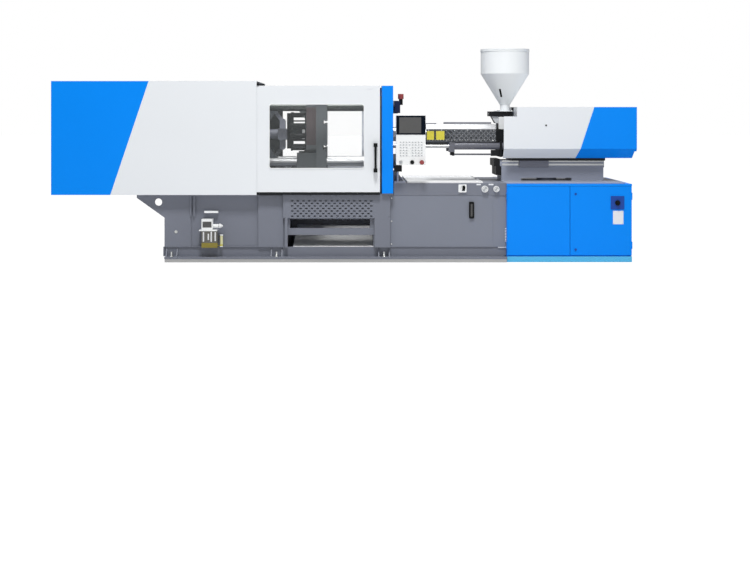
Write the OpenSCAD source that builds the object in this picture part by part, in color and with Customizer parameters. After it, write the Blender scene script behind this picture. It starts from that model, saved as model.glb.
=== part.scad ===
// Horizontal injection moulding machine with a double toggle clamp
// X runs from the clamp end to the injection end, the operator stands at -Y, Z is up
// The origin lies on the floor under the middle of the machine

/* [Machine] */
// Mould face of the fixed platen, measured from the origin
face_x = 265; // [215:5:315]
// Height of the machine axis above the floor
axis_z = 1147; // [1130:1:1170]
// Thickness of the folded sheet metal
sheet = 3; // [2:0.5:4]
// Running gap between parts that slide on each other
slide_gap = 0.3; // [0.2:0.05:0.4]

/* [Bed] */
// Length of the bed from the mould face to its clamp end
bed_clamp_l = 1928; // [1900:2:1950]
// Length of the bed from the mould face to its injection end
bed_inj_l = 1173; // [1155:1:1185]
// Half width of the bed side walls
bed_half = 560; // [540:5:580]
// Thickness of the bed plates
bed_plate = 15; // [12:1:20]
// Height of the deck under the clamp unit
deck_z = 610; // [600:1:620]
// Height of the deck under the injection unit
inj_deck_z = 712; // [708:1:722]
// Height of the base rail on which the bed walls stand
rail_h = 134; // [128:1:146]
// Thickness of the foot flange
flange_t = 19; // [15:1:25]
// Height of the floor pads under the foot flange
pad_h = 30; // [24:1:36]
// Distance that the foot flange stands out from the bed wall
flange_out = 60; // [50:2:80]
// Thickness of the triangular foot gussets
gusset_t = 12; // [8:1:16]
// Length of the cantilever bracket at the clamp end
bracket_l = 251; // [235:1:262]
// Height of the cantilever bracket at the clamp end
bracket_h = 211; // [196:1:224]
// Radius of the lifting hole in the bracket
lift_r = 33; // [25:1:36]
// Height of the machined ways above the clamp deck
way_h = 90; // [80:1:100]
// Width of each machined way
way_w = 95; // [80:1:110]
// Distance from the machine middle to the inner edge of a way
way_y = 225; // [215:1:235]
// Half width of the open shaft that the moulded parts fall through
shaft_half = 205; // [180:1:210]

/* [Clamp unit] */
// Diameter of a tie bar
tie_d = 75; // [65:1:80]
// Half of the distance between tie bar centres
tie_half = 255; // [245:1:265]
// Thickness of the fixed platen
fixed_t = 150; // [130:2:160]
// Half height and half width of the platens
platen_half = 355; // [345:1:365]
// Thickness of the moving platen
moving_t = 97; // [90:1:110]
// Thickness of the end platen
end_t = 150; // [130:2:160]
// Widest opening between the mould faces
daylight = 460; // [450:2:470]
// Radius of the locating ring bore
ring_r = 62.5; // [55:0.5:65]
// Depth of the locating ring bore
ring_depth = 25; // [20:1:30]
// Offset of the mould T slots from the machine axis
tslot_z = 115; // [105:1:125]
// Length of each toggle link between its pins
link_l = 360; // [355:1:365]
// Angle of the open toggle links to the machine axis
link_angle = 52; // [51:0.5:53]
// Offset of the toggle pivots from the machine axis
pivot_z = 120; // [116:1:124]
// Distance from the rear pivot to the pin of the crosshead link
drive_l = 140; // [136:1:143]
// Distance from the moving platen to its toggle pivots
pivot_out = 53; // [50:1:60]
// Distance from the end platen to its toggle pivots
rear_pivot_out = 90; // [80:1:100]
// Radius of the main toggle pins
pin_r = 22; // [18:1:24]
// Radius of the crosshead pins
small_pin_r = 14; // [12:0.5:16]
// Radial clearance of every pin in its bore
pin_gap = 0.1; // [0.05:0.01:0.2]
// Travel of the ejector plate
ejector_travel = 100; // [80:5:110]

/* [Guards] */
// Length of the fixed cover over the toggle
cover_l = 1850; // [1830:2:1870]
// Half width over the covers
cover_half = 650; // [645:1:665]
// Height of the top of the clamp cover
cover_z = 1636; // [1625:1:1650]
// Width of the sliding gate
gate_w = 1174; // [1150:2:1190]
// Length by which the closed gate stays behind the cover
gate_overlap = 63; // [50:1:75]
// Height of the sliding gate
gate_h = 959; // [940:1:965]
// Depth of the folded edges of the gate
gate_fold = 28; // [22:1:30]
// Width of the gate window
window_w = 848; // [800:2:860]
// Height of the gate window
window_h = 571; // [540:1:590]
// Corner radius of the gate window
window_r = 19; // [12:1:26]
// Thickness of the window pane
pane_t = 6; // [4:0.5:8]
// Width of the fixed guard beside the gate
post_w = 100; // [92:1:110]
// Gap between the gate and the fixed guard
post_gap = 19; // [12:1:25]

/* [Injection unit] */
// Length of the injection unit cover
icover_l = 1230; // [1210:1:1250]
// Half width of the injection unit cover
icover_half = 330; // [310:2:345]
// Height of the top of the injection unit cover
icover_z = 1403; // [1393:1:1415]
// Radius of the plasticising cylinder
barrel_r = 55; // [45:1:60]
// Radius of the screw
screw_r = 20; // [16:0.5:24]
// Radius of the hopper
hopper_r = 228; // [216:1:236]
// Radius of the material passage under the hopper
feed_r = 40; // [34:1:42]
// Stroke of the screw drive
screw_stroke = 180; // [150:5:190]
// Travel of the injection carriage
carriage_travel = 300; // [250:5:310]

/* [Cabinet] */
// Length of the electrical cabinet
cab_l = 1130; // [1105:1:1150]
// Half width of the electrical cabinet
cab_half = 600; // [580:5:620]
// Height of the electrical cabinet
cab_h = 706; // [700:1:707]
// Depth of the cabinet doors
door_t = 24; // [20:1:30]
// Height of the plinth below the cabinet doors
plinth_h = 62; // [58:1:70]

/* [Control panel] */
// Width of the control panel
panel_w = 265; // [250:1:275]
// Height of the control panel
panel_h = 444; // [430:1:460]
// Depth of the control panel
panel_d = 80; // [70:1:90]

/* [Hidden] */
$fn = 48;
eps = 0.01;

// Stations along the machine
bed_x0 = face_x - bed_clamp_l;
bed_x1 = face_x + bed_inj_l;
moving_x = face_x - daylight;
moving_x0 = moving_x - moving_t;
front_pivot_x = moving_x0 - pivot_out;
rear_pivot_x = front_pivot_x - 2 * link_l * cos(link_angle);
end_x1 = rear_pivot_x - rear_pivot_out;
end_x0 = end_x1 - end_t;
fixed_x1 = face_x + fixed_t;
gate_x1 = face_x + 24;
gate_x0 = gate_x1 - gate_w;
cover_x1 = gate_x0 + gate_overlap;
cover_x0 = cover_x1 - cover_l;
post_x0 = gate_x1 + post_gap;
post_x1 = post_x0 + post_w;
tank_x0 = post_x1 - 23;
deck_x1 = tank_x0 + 28;
shaft_x0 = face_x - 800;
shaft_x1 = face_x - 33;
knee_x = (front_pivot_x + rear_pivot_x) / 2;
knee_dz = link_l * sin(link_angle);
drive_dx = drive_l * cos(link_angle);
drive_dz = drive_l * sin(link_angle);
cross_x = rear_pivot_x + 2 * drive_dx;

// Heights
base_z = pad_h + flange_t;
way_z = deck_z + way_h;
gate_z0 = deck_z + 25;
gate_z1 = gate_z0 + gate_h;
post_foot = 13;
beam_z = deck_z - 8;
outlet_z0 = deck_z - 305;
outlet_h = 82;
passage_z1 = rail_h + 108;
panel_bottom = deck_z - 212;
window_z0 = gate_z0 + 218;
bracket_end = 32;
window_x1 = gate_x1 - 146;
window_x0 = window_x1 - window_w;

// Planes across the machine, on the operator side
cover_in = cover_half - sheet;
gate_y = cover_in - 7;
gate_in = gate_y - gate_fold;

// Lanes of the toggle across the machine, as half widths
cross_link_y = 18;
cross_lug_y = 45;
front_link_y = 58;
rear_link_y = 90;
end_lug_y = 120;
lane_gap = 1.5;
hub_r = 43;
small_hub_r = 28;

// Injection unit stations
icover_x0 = bed_x1 + 4;
icover_x1 = icover_x0 + icover_l;
hopper_x = icover_x0 + 49;
nozzle_x0 = face_x + ring_depth + 5;
guard_x0 = bed_x1 - 701;
guard_x1 = bed_x1 - 48;
beam_x0 = bed_x1 - 13;
beam_x1 = beam_x0 + 974;
body_z0 = inj_deck_z + 29;
beam_z0 = inj_deck_z + 126;
beam_z1 = beam_z0 + 66;
base_half = 170;
cab_x0 = bed_x1;
cab_x1 = cab_x0 + cab_l;
carriage_z = beam_z1 + slide_gap;
icover_z0 = beam_z1 + 24;
carriage_top = icover_z0;
icover_fold_z = icover_z0 + 88;
icover_low = icover_half - 80;
guard_z0 = axis_z - 73;
guard_z1 = axis_z + 45;
cylinder_z = axis_z - 111;
cylinder_x0 = guard_x0 + 212;
front_plate_z0 = beam_z1 + 32;
front_plate_z1 = axis_z - 62;
house_x0 = icover_x0 + 102;
house_x1 = house_x0 + 150;
barrel_x1 = house_x0 + 20;
drive_x0 = house_x1 + 40;
drive_x1 = drive_x0 + 80;
motor_l = 330;
tail_x0 = drive_x1 + motor_l + screw_stroke;
tail_x1 = tail_x0 + 70;
throat_z1 = axis_z + 169;
valve_z1 = throat_z1 + 46;
neck_z1 = valve_z1 + 58;
cone_z1 = neck_z1 + 297;
hopper_z1 = cone_z1 + 234;
lid_t = 12;
rim_z = hopper_z1 - lid_t;
lid_hinge_y = hopper_r + 10;
lid_hinge_z = rim_z + 6;
lid_knuckle = 14;
gate_slot_h = 8;

// Block between two corners
module block(x0, x1, y0, y1, z0, z1) {
    translate([x0, y0, z0]) cube([x1 - x0, y1 - y0, z1 - z0]);
}

// Profile drawn in X and Z, extruded along Y
module along_y(y0, y1) {
    translate([0, y1, 0]) rotate([90, 0, 0]) linear_extrude(y1 - y0) children();
}

// Profile drawn in Y and Z, extruded along X
module along_x(x0, x1) {
    translate([x0, 0, 0]) rotate([90, 0, 90]) linear_extrude(x1 - x0) children();
}

// Cylinder along Y
module rod_y(x, z, y0, y1, r) {
    translate([x, y1, z]) rotate([90, 0, 0]) cylinder(h = y1 - y0, r = r);
}

// Cylinder along X
module rod_x(x0, x1, y, z, r) {
    translate([x0, y, z]) rotate([0, 90, 0]) cylinder(h = x1 - x0, r = r);
}

// Vertical cylinder
module rod_z(x, y, z0, z1, r) {
    translate([x, y, z0]) cylinder(h = z1 - z0, r = r);
}

// The children and their mirror image on the far side of the machine
module both_sides() {
    children();
    mirror([0, 1, 0]) children();
}

// The children and their mirror image below the machine axis
module both_heights() {
    children();
    translate([0, 0, 2 * axis_z]) mirror([0, 0, 1]) children();
}

// The children mirrored below the machine axis
module lower_half() {
    translate([0, 0, 2 * axis_z]) mirror([0, 0, 1]) children();
}

// Flat outline with round corners
module round_rect(x0, x1, z0, z1, r) {
    translate([x0 + r, z0]) square([x1 - x0 - 2 * r, z1 - z0]);
    translate([x0, z0 + r]) square([x1 - x0, z1 - z0 - 2 * r]);
    for (x = [x0 + r, x1 - r], z = [z0 + r, z1 - r]) translate([x, z]) circle(r);
}

// Bed
// Foot with two triangular gussets on the base rail
module foot(x) {
    gusset_h = rail_h - base_z - 10;
    for (dx = [-54, 54 - gusset_t]) {
        translate([x + dx, 0, 0]) rotate([90, 0, 90]) linear_extrude(gusset_t)
            polygon([[-bed_half + bed_plate, base_z], [-bed_half - flange_out + 12, base_z],
                [-bed_half + bed_plate, base_z + gusset_h]]);
    }
}

// Side wall of the clamp part of the bed, with its bracket
module bed_wall() {
    along_y(-bed_half, -bed_half + bed_plate) difference() {
        polygon([[bed_x0, rail_h - eps], [tank_x0, rail_h - eps], [tank_x0, deck_z],
            [bed_x0 - bracket_l, deck_z], [bed_x0 - bracket_l, deck_z - bracket_end],
            [bed_x0, deck_z - bracket_h]]);
        translate([bed_x0 - 54, deck_z - 70]) circle(lift_r);
    }
}

// Recess and outlets of the operator side, cut out of the bed wall
module wall_openings() {
    wall_y0 = -bed_half - 1;
    wall_y1 = -bed_half + bed_plate;
    block(bed_x0 + 240, bed_x0 + 846, wall_y0, wall_y1, rail_h + 7, deck_z - 20);
    block(shaft_x0 + 10, shaft_x1 - 31, wall_y0, wall_y1 + 1, outlet_z0, outlet_z0 + outlet_h);
    block(shaft_x0 - 14, shaft_x1, wall_y0, wall_y1 + 20, rail_h - 1, passage_z1);
}

module bed_frame() color([0.46, 0.48, 0.53]) {
    in_y = bed_half - bed_plate;
    column_out = 40;
    difference() {
        union() {
            both_sides() {
                bed_wall();
                // Base rail: web and the foot flange with its floor strip
                block(bed_x0 - 11, bed_x1 - 18, -in_y - eps, -in_y + bed_plate, base_z - eps, rail_h);
                block(bed_x0 - 11, bed_x0 + eps, -bed_half, -in_y, base_z - eps, rail_h);
                block(bed_x0 + 6, bed_x1, -bed_half - flange_out, -in_y + 80, pad_h, base_z);
                block(bed_x0 + 9, bed_x1 - 3, -bed_half - flange_out + 3, -in_y + 80, 0, pad_h + eps);
                foot(bed_x0 + 68);
                foot(face_x - 910);
                foot(face_x + 62);
                // Vertical rib pair
                for (dx = [232, 263])
                    block(bed_x0 + dx, bed_x0 + dx + 14, -bed_half - 12, -in_y, deck_z - 196, deck_z - 15);
                block(bed_x0 + 852, shaft_x0 - 51, -bed_half - 10, -bed_half + eps, rail_h, deck_z - 8);
                // Columns on both sides of the outlets, flush with the perforated panel
                for (x = [[shaft_x0 - 35, shaft_x0 - 10], [shaft_x1 + 9, tank_x0 - 2]])
                    block(x[0], x[1], -bed_half - column_out, -bed_half + eps, rail_h, panel_bottom);
                // Machined ways for the platens
                block(end_x0 - 12, fixed_x1 - 120, -way_y - way_w, -way_y, deck_z - eps, way_z);
                // Foot plate of the fixed guard
                block(post_x0, post_x1, -gate_y + 8, -in_y + 10, deck_z - eps, deck_z + post_foot);
                // Rib behind the fixed platen
                along_y(-bed_half + 120, -bed_half + 150) polygon([[fixed_x1, inj_deck_z - 1],
                    [fixed_x1 + 99, inj_deck_z - 1], [fixed_x1 + 85, inj_deck_z + 28],
                    [fixed_x1 + 55, inj_deck_z + 73], [fixed_x1, inj_deck_z + 73]]);
            }
            // Deck, end plate and cross plates
            block(bed_x0 - bracket_l, deck_x1, -bed_half, bed_half, deck_z - bed_plate, deck_z);
            for (x = [bed_x0, bed_x0 + 851, shaft_x0 - 14 - bed_plate, shaft_x1, tank_x0 - bed_plate])
                block(x, x + bed_plate, -in_y - eps, in_y + eps, base_z - eps, deck_z - 1);
            // Deck beam under the injection unit
            block(fixed_x1, bed_x1, -bed_half, bed_half, beam_z, inj_deck_z);
        }
        // Open inside of the deck beam
        block(deck_x1 + 1, bed_x1 - bed_plate, -in_y, in_y, beam_z - 1, inj_deck_z - bed_plate);
        // Shaft for the moulded parts
        block(shaft_x0, shaft_x1, -shaft_half, shaft_half, deck_z - 2 * bed_plate, deck_z + 1);
        wall_openings();
    }
    // Panel at the back of the recess, and the rail between the two outlets
    block(bed_x0 + 225, bed_x0 + 866, -in_y - eps, -in_y + 10, rail_h - eps, deck_z - 10);
    block(shaft_x0 - 11, shaft_x1 + 10, -bed_half - 8, -in_y, passage_z1 + 2, outlet_z0 - 2);
}

module oil_tank() color([0.51, 0.53, 0.58]) {
    wall = 8;
    y1 = bed_half - 4;
    bend_x = bed_x1 - 123;
    difference() {
        block(tank_x0, bed_x1, -y1, y1, rail_h, beam_z);
        // Rebate under the clamp deck
        block(tank_x0 - 1, deck_x1, -y1 - 1, y1 + 1, deck_z - bed_plate, deck_z);
        block(tank_x0 + wall, bed_x1 - wall, -y1 + wall, y1 - wall, rail_h + wall, deck_z - bed_plate - wall);
        // Folded step at the injection end
        block(bend_x, bed_x1 + 1, -y1 - 1, -y1 + 3, rail_h - 1, deck_z);
    }
}

// Pale sheet trays: one under the barrel, and the slide that leads the moulded parts to the front
module drip_tray() color([0.80, 0.80, 0.81]) {
    x0 = post_x1 + 133;
    x1 = bed_x1 - 212;
    y = bed_half - 8;
    in_y = bed_half - bed_plate;
    difference() {
        block(x0, x1, -y, y, inj_deck_z, inj_deck_z + 14);
        block(x0 + 2, x1 - 2, -y + 2, y - 2, inj_deck_z + 2, inj_deck_z + 15);
    }
    along_x(shaft_x0 + 38, shaft_x1) polygon([[-in_y, rail_h], [-in_y + bed_plate, rail_h],
        [in_y, passage_z1], [in_y, passage_z1 + sheet],
        [-in_y + bed_plate, rail_h + sheet], [-in_y, rail_h + sheet]]);
}

// Staggered rows of oblong holes through a sheet, drawn in X and Z
module vent_pattern(x0, z0) {
    pitch_x = 51;
    pitch_z = 46;
    half = 6;
    for (row = [0:3], col = [0:14]) translate([x0 + col * pitch_x, z0 + row * pitch_z]) vent_hole(half);
    for (row = [0:2], col = [0:13])
        translate([x0 + (col + 0.5) * pitch_x, z0 + (row + 0.5) * pitch_z]) vent_hole(half);
}

module vent_hole(half) {
    translate([-half, -half]) square(2 * half);
    for (x = [-half, half]) translate([x, 0]) circle(half);
}

// Perforated front panel under the gate
module vent_panel() color([0.42, 0.44, 0.50]) {
    x0 = shaft_x0 - 51;
    x1 = tank_x0 - 2;
    z0 = panel_bottom;
    z1 = deck_z - eps;
    y1 = bed_half + 40;
    both_sides() difference() {
        block(x0, x1, -y1, -bed_half, z0, z1);
        block(x0 + sheet, x1 - sheet, -y1 + sheet, -bed_half + 1, z0 + sheet, z1 - sheet);
        along_y(-y1 - 1, -y1 + sheet + 1) vent_pattern(x0 + 83, z0 + 18);
    }
}

// Fixed guards
// Folded cover over the toggle, before it is divided into its two pieces
module cover_shell() {
    lap = 20;
    open_y = bed_half - lap;
    difference() {
        block(cover_x0, cover_x1, -cover_half, cover_half, deck_z, cover_z);
        block(cover_x0 + sheet, cover_x1 + 1, -cover_in, cover_in, deck_z + sheet, cover_z - sheet);
        // The bottom stays closed beyond the bed and laps onto the deck along its edges
        block(bed_x0 - bracket_l + lap, cover_x1 + 1, -open_y, open_y, deck_z - 1, deck_z + sheet + 1);
    }
}

// Side outline of the white piece of the clamp cover
module white_outline() {
    slant_top = cover_x1 - 971;
    slant_bottom = cover_x1 - 1317;
    polygon([[slant_bottom, deck_z - 1], [cover_x1 + 2, deck_z - 1], [cover_x1 + 2, cover_z + 1],
        [slant_top, cover_z + 1]]);
}

module clamp_cover() color([0.91, 0.92, 0.93]) {
    intersection() {
        cover_shell();
        along_y(-cover_half - 1, cover_half + 1) white_outline();
    }
}

module clamp_end_cover() color([0.0, 0.50, 0.95]) {
    difference() {
        cover_shell();
        along_y(-cover_half - 1, cover_half + 1) white_outline();
    }
}

// Folded guards between the gate and the fixed platen
module guard_posts() color([0.0, 0.50, 0.95]) {
    z0 = deck_z + post_foot;
    both_sides() difference() {
        block(post_x0, post_x1, -gate_y, -platen_half - 45, z0, gate_z1);
        block(post_x0 + sheet, post_x1 - sheet, -gate_y + sheet, -platen_half, z0 - 1, gate_z1 - sheet);
    }
}

// Tracks that carry and guide both gates
module gate_rails() color([0.30, 0.31, 0.34]) {
    both_sides() {
        block(cover_x0 + 778, gate_x1, -gate_y, -gate_in, deck_z + sheet, gate_z0 - slide_gap);
        // Bar on the deck that carries the lower track in front of the outlets
        block(cover_x1, gate_x1, -gate_y, -bed_half + 20, deck_z, deck_z + 9);
        block(cover_x0 + 778, cover_x1 + 20, -cover_in, -gate_in, gate_z1 + slide_gap, gate_z1 + 24);
    }
}

// Gates
module gate_panel() {
    difference() {
        block(gate_x0, gate_x1, -gate_y, -gate_in, gate_z0, gate_z1);
        block(gate_x0 + sheet, gate_x1 - sheet, -gate_y + sheet, -gate_in + 1,
            gate_z0 + sheet, gate_z1 - sheet);
        along_y(-gate_y - 1, -gate_in + 2)
            round_rect(window_x0, window_x1, window_z0, window_z0 + window_h, window_r);
    }
}

module gate_pane() {
    lap = 15;
    block(window_x0 - lap, window_x1 + lap, -gate_y + sheet, -gate_y + sheet + pane_t,
        window_z0 - lap, window_z0 + window_h + lap);
}

// Bow handle with a pad at each end
module gate_pull() {
    x = gate_x1 - 41;
    z0 = gate_z0 + 180;
    z1 = z0 + 262;
    grip_y = gate_y + 46;
    block(x - 10, x + 10, -grip_y - 10, -grip_y + 12, z0 + 20, z1 - 20);
    for (z = [z0, z1 - 34]) block(x - 17, x + 17, -grip_y - 10, -gate_y, z, z + 34);
}

module front_gate() color([0.91, 0.93, 0.95]) gate_panel();

module front_gate_window() color([0.85, 0.92, 0.94, 0.35]) gate_pane();

module front_gate_handle() color([0.08, 0.08, 0.09]) gate_pull();

module rear_gate() color([0.91, 0.93, 0.95]) mirror([0, 1, 0]) {
    gate_panel();
    gate_pull();
}

module rear_gate_window() color([0.85, 0.92, 0.94, 0.35]) mirror([0, 1, 0]) gate_pane();

// Clamp unit
// T slots and tie bar bores of a platen that reaches from x0 to x1
module platen_plate(x0, x1, bore_r) {
    difference() {
        block(x0, x1, -platen_half, platen_half, axis_z - platen_half, axis_z + platen_half);
        for (y = [-tie_half, tie_half], z = [-tie_half, tie_half])
            rod_x(x0 - 1, x1 + 1, y, axis_z + z, bore_r);
    }
}

// One T slot, open at the mould face, that runs across the platen
module t_slot(face, side, z) {
    neck = 11;
    head = 19;
    along_y(-platen_half - 1, platen_half + 1) translate([face, z])
        polygon([[side * 2, -neck], [-side * 20, -neck], [-side * 20, -head], [-side * 36, -head],
            [-side * 36, head], [-side * 20, head], [-side * 20, neck], [side * 2, neck]]);
}

module fixed_platen() color([0.44, 0.47, 0.48]) {
    difference() {
        union() {
            platen_plate(face_x, fixed_x1, tie_d / 2);
            both_sides() block(fixed_x1 - 120, fixed_x1, -platen_half, -way_y + 30,
                deck_z, axis_z - platen_half + eps);
        }
        rod_x(face_x - 1, face_x + ring_depth, 0, axis_z, ring_r);
        rod_x(face_x + ring_depth - 1, fixed_x1 + 1, 0, axis_z, ring_r - 12);
        rod_x(face_x + 70, fixed_x1 + 1, 0, axis_z, barrel_r + 25);
        for (dz = [-tslot_z, tslot_z]) t_slot(face_x, -1, axis_z + dz);
    }
}

// Pair of lugs that stand from a platen to a toggle pivot, with the pin between them
module pivot_lugs(plate_x, pivot_x, y0, y1) {
    x0 = min(plate_x, pivot_x);
    x1 = max(plate_x, pivot_x);
    both_heights() both_sides() {
        rod_y(pivot_x, axis_z + pivot_z, -y1, -y0, hub_r - 1);
        block(x0, x1, -y1, -y0, axis_z + pivot_z - hub_r + 1, axis_z + pivot_z + hub_r - 1);
    }
    both_heights() rod_y(pivot_x, axis_z + pivot_z, -y0 - eps, y0 + eps, pin_r);
}

module end_platen() color([0.44, 0.47, 0.48]) {
    difference() {
        union() {
            platen_plate(end_x0, end_x1, tie_d / 2);
            pivot_lugs(end_x1 - eps, rear_pivot_x, rear_link_y + lane_gap, end_lug_y);
            both_sides() block(end_x0, end_x1, -platen_half, -way_y, way_z, axis_z - platen_half + eps);
        }
        rod_x(end_x0 - 1, end_x1 + 1, 0, axis_z, 50);
    }
}

module tie_bars() color([0.74, 0.75, 0.76]) {
    for (y = [-tie_half, tie_half], z = [-tie_half, tie_half])
        rod_x(end_x0 - 62, fixed_x1 + 48, y, axis_z + z, tie_d / 2);
}

module tie_bar_nuts() color([0.30, 0.31, 0.33]) {
    for (y = [-tie_half, tie_half], z = [-tie_half, tie_half], x = [end_x0 - 50, fixed_x1])
        difference() {
            rod_x(x, x + 50, y, axis_z + z, tie_d / 2 + 22);
            rod_x(x - 1, x + 51, y, axis_z + z, tie_d / 2);
        }
}

module clamp_cylinder() color([0.36, 0.38, 0.41]) {
    x0 = end_x0 - 420;
    difference() {
        union() {
            rod_x(x0, end_x0, 0, axis_z, 92);
            rod_x(end_x0 - 30, end_x0, 0, axis_z, 130);
            rod_x(x0, x0 + 34, 0, axis_z, 108);
        }
        rod_x(x0 + 30, end_x0 - 40, 0, axis_z, 62);
        rod_x(end_x0 - 41, end_x0 + 1, 0, axis_z, 45 + pin_gap);
    }
}

// Rear link of the upper toggle: hub, two cheeks, a web, and the knee and drive pins
module rear_link() {
    cheek_y0 = front_link_y + lane_gap;
    translate([rear_pivot_x, 0, axis_z + pivot_z]) rotate([0, -link_angle, 0]) difference() {
        union() {
            rod_y(0, 0, -rear_link_y, rear_link_y, hub_r);
            both_sides() {
                block(0, link_l, -rear_link_y, -cheek_y0, -32, 32);
                rod_y(link_l, 0, -rear_link_y, -cheek_y0, hub_r);
                rod_y(drive_l, 0, -rear_link_y, -cheek_y0, hub_r - 6);
            }
            block(0, drive_l - small_hub_r - 8, -cheek_y0 - eps, cheek_y0 + eps, -20, 20);
            rod_y(link_l, 0, -cheek_y0 - eps, cheek_y0 + eps, pin_r);
            rod_y(drive_l, 0, -cheek_y0 - eps, cheek_y0 + eps, small_pin_r);
        }
        rod_y(0, 0, -rear_link_y - 1, rear_link_y + 1, pin_r + pin_gap);
        // Weight saving pockets on the outer faces
        both_sides() block(drive_l + 52, link_l - 58, -rear_link_y - 1, -rear_link_y + 8, -20, 20);
    }
}

// Front link of the upper toggle, a single plate between two hubs
module front_link() {
    translate([knee_x, 0, axis_z + pivot_z + knee_dz]) rotate([0, link_angle, 0]) difference() {
        union() {
            for (x = [0, link_l]) rod_y(x, 0, -front_link_y, front_link_y, hub_r);
            block(0, link_l, -front_link_y + 18, front_link_y - 18, -30, 30);
        }
        for (x = [0, link_l]) rod_y(x, 0, -front_link_y - 1, front_link_y + 1, pin_r + pin_gap);
        both_sides() block(60, link_l - 60, -front_link_y + 17, -front_link_y + 28, -18, 18);
    }
}

// Short link from the rear link to the crosshead
module drive_link() {
    drive_z = axis_z + pivot_z + drive_dz;
    translate([rear_pivot_x + drive_dx, 0, drive_z]) rotate([0, link_angle, 0]) difference() {
        union() {
            for (x = [0, drive_l]) rod_y(x, 0, -cross_link_y, cross_link_y, small_hub_r);
            block(0, drive_l, -cross_link_y, cross_link_y, -17, 17);
        }
        for (x = [0, drive_l]) rod_y(x, 0, -cross_link_y - 1, cross_link_y + 1, small_pin_r + pin_gap);
    }
}

module upper_rear_link() color([0.33, 0.36, 0.40]) rear_link();

module lower_rear_link() color([0.33, 0.36, 0.40]) lower_half() rear_link();

module upper_front_link() color([0.38, 0.41, 0.44]) front_link();

module lower_front_link() color([0.38, 0.41, 0.44]) lower_half() front_link();

module upper_drive_link() color([0.50, 0.52, 0.54]) drive_link();

module lower_drive_link() color([0.50, 0.52, 0.54]) lower_half() drive_link();

// Crosshead with its lugs, the piston rod and the piston
module crosshead() color([0.45, 0.48, 0.50]) {
    rod_x0 = end_x0 - 330;
    block(cross_x - 42, cross_x + 42, -95, 95, axis_z - 52, axis_z + 52);
    both_heights() {
        both_sides() {
            block(cross_x - 27, cross_x + 27, -cross_lug_y, -cross_link_y - lane_gap,
                axis_z + 51, axis_z + pivot_z);
            rod_y(cross_x, axis_z + pivot_z, -cross_lug_y, -cross_link_y - lane_gap, small_hub_r - 1);
        }
        rod_y(cross_x, axis_z + pivot_z, -cross_link_y - 2, cross_link_y + 2, small_pin_r);
    }
    rod_x(rod_x0, cross_x - 40, 0, axis_z, 45);
    rod_x(rod_x0, rod_x0 + 40, 0, axis_z, 62 - slide_gap);
}

module moving_platen() color([0.40, 0.43, 0.44]) {
    shoe_x0 = moving_x0 - 179;
    shoe_y = way_y + way_w - 10;
    bush = tie_d / 2 + slide_gap;
    difference() {
        union() {
            block(moving_x0, moving_x, -platen_half, platen_half, axis_z - platen_half, axis_z + platen_half);
            pivot_lugs(moving_x0 + eps, front_pivot_x, front_link_y + lane_gap, rear_link_y);
            // Long shoes round the lower tie bars, down to the ways
            both_sides() {
                block(shoe_x0, moving_x, -shoe_y, -way_y + 20,
                    axis_z - tie_half - 60, axis_z - tie_half + 86);
                block(shoe_x0, moving_x, -shoe_y, -way_y - 8, way_z + slide_gap, axis_z - tie_half);
                // Rear columns from the shoes up to the upper bushes
                block(moving_x0 - 92, moving_x0 + eps, -platen_half + 20, -way_y + 10,
                    axis_z - 137, axis_z + 253);
                rod_x(moving_x0 - 92, moving_x0 + eps, -tie_half, axis_z + tie_half, 62);
            }
        }
        for (y = [-tie_half, tie_half], z = [-tie_half, tie_half])
            rod_x(shoe_x0 - 1, moving_x + 1, y, axis_z + z, bush);
        for (y = [-90, 0, 90]) rod_x(moving_x0 - 1, moving_x + 1, y, axis_z, 13 + slide_gap);
        for (dz = [-tslot_z, tslot_z]) t_slot(moving_x, 1, axis_z + dz);
    }
}

// Ejector plate with three push rods through the moving platen
module ejector_plate() color([0.55, 0.57, 0.58]) {
    x0 = moving_x0 - ejector_travel - 34;
    block(x0, x0 + 24, -130, 130, axis_z - 42, axis_z + 42);
    for (y = [-90, 0, 90]) rod_x(x0 + 12, moving_x - 4, y, axis_z, 13);
}

// Lubrication
module lubricator_pump() color([0.88, 0.89, 0.88]) {
    x0 = bed_x0 + 345;
    y0 = bed_half + 2;
    // Shelf that reaches back to the panel in the recess
    block(x0 - 22, x0 + 140, -y0 - 92, -bed_half + bed_plate - eps, deck_z - 325, deck_z - 315);
    difference() {
        block(x0, x0 + 100, -y0 - 88, -y0 - 6, deck_z - 315 - eps, deck_z - 219);
        block(x0 + 18, x0 + 82, -y0 - 89, -y0 - 84, deck_z - 290, deck_z - 240);
    }
    rod_x(x0 + 100, x0 + 152, -y0 - 47, deck_z - 281, 17);
    block(x0 + 18, x0 + 144, -y0 - 24, -bed_half + bed_plate - eps, deck_z - 167, deck_z - 149);
}

module lubricator_reservoir() color([0.62, 0.58, 0.22]) {
    x0 = bed_x0 + 345;
    y0 = bed_half + 2;
    z1 = deck_z - 325;
    difference() {
        block(x0, x0 + 144, -y0 - 90, -y0, z1 - 150, z1);
        block(x0 + 4, x0 + 140, -y0 - 86, -y0 - 4, z1 - 146, z1 - 4);
    }
    rod_z(x0 + 176, -y0 - 46, z1 - 140, z1 - 44, 13);
    block(x0 + 143, x0 + 176, -y0 - 52, -y0 - 40, z1 - 138, z1 - 130);
    block(x0 + 143, x0 + 176, -y0 - 52, -y0 - 40, z1 - 60, z1 - 52);
}

// Fittings of the tank
module level_gauge() color([0.12, 0.13, 0.14]) {
    x = bed_x1 - 317;
    along_y(-bed_half - 14, -bed_half + 4) difference() {
        round_rect(x - 23, x + 23, deck_z - 218, deck_z - 67, 9);
        round_rect(x - 9, x + 9, deck_z - 200, deck_z - 85, 4);
    }
}

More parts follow.
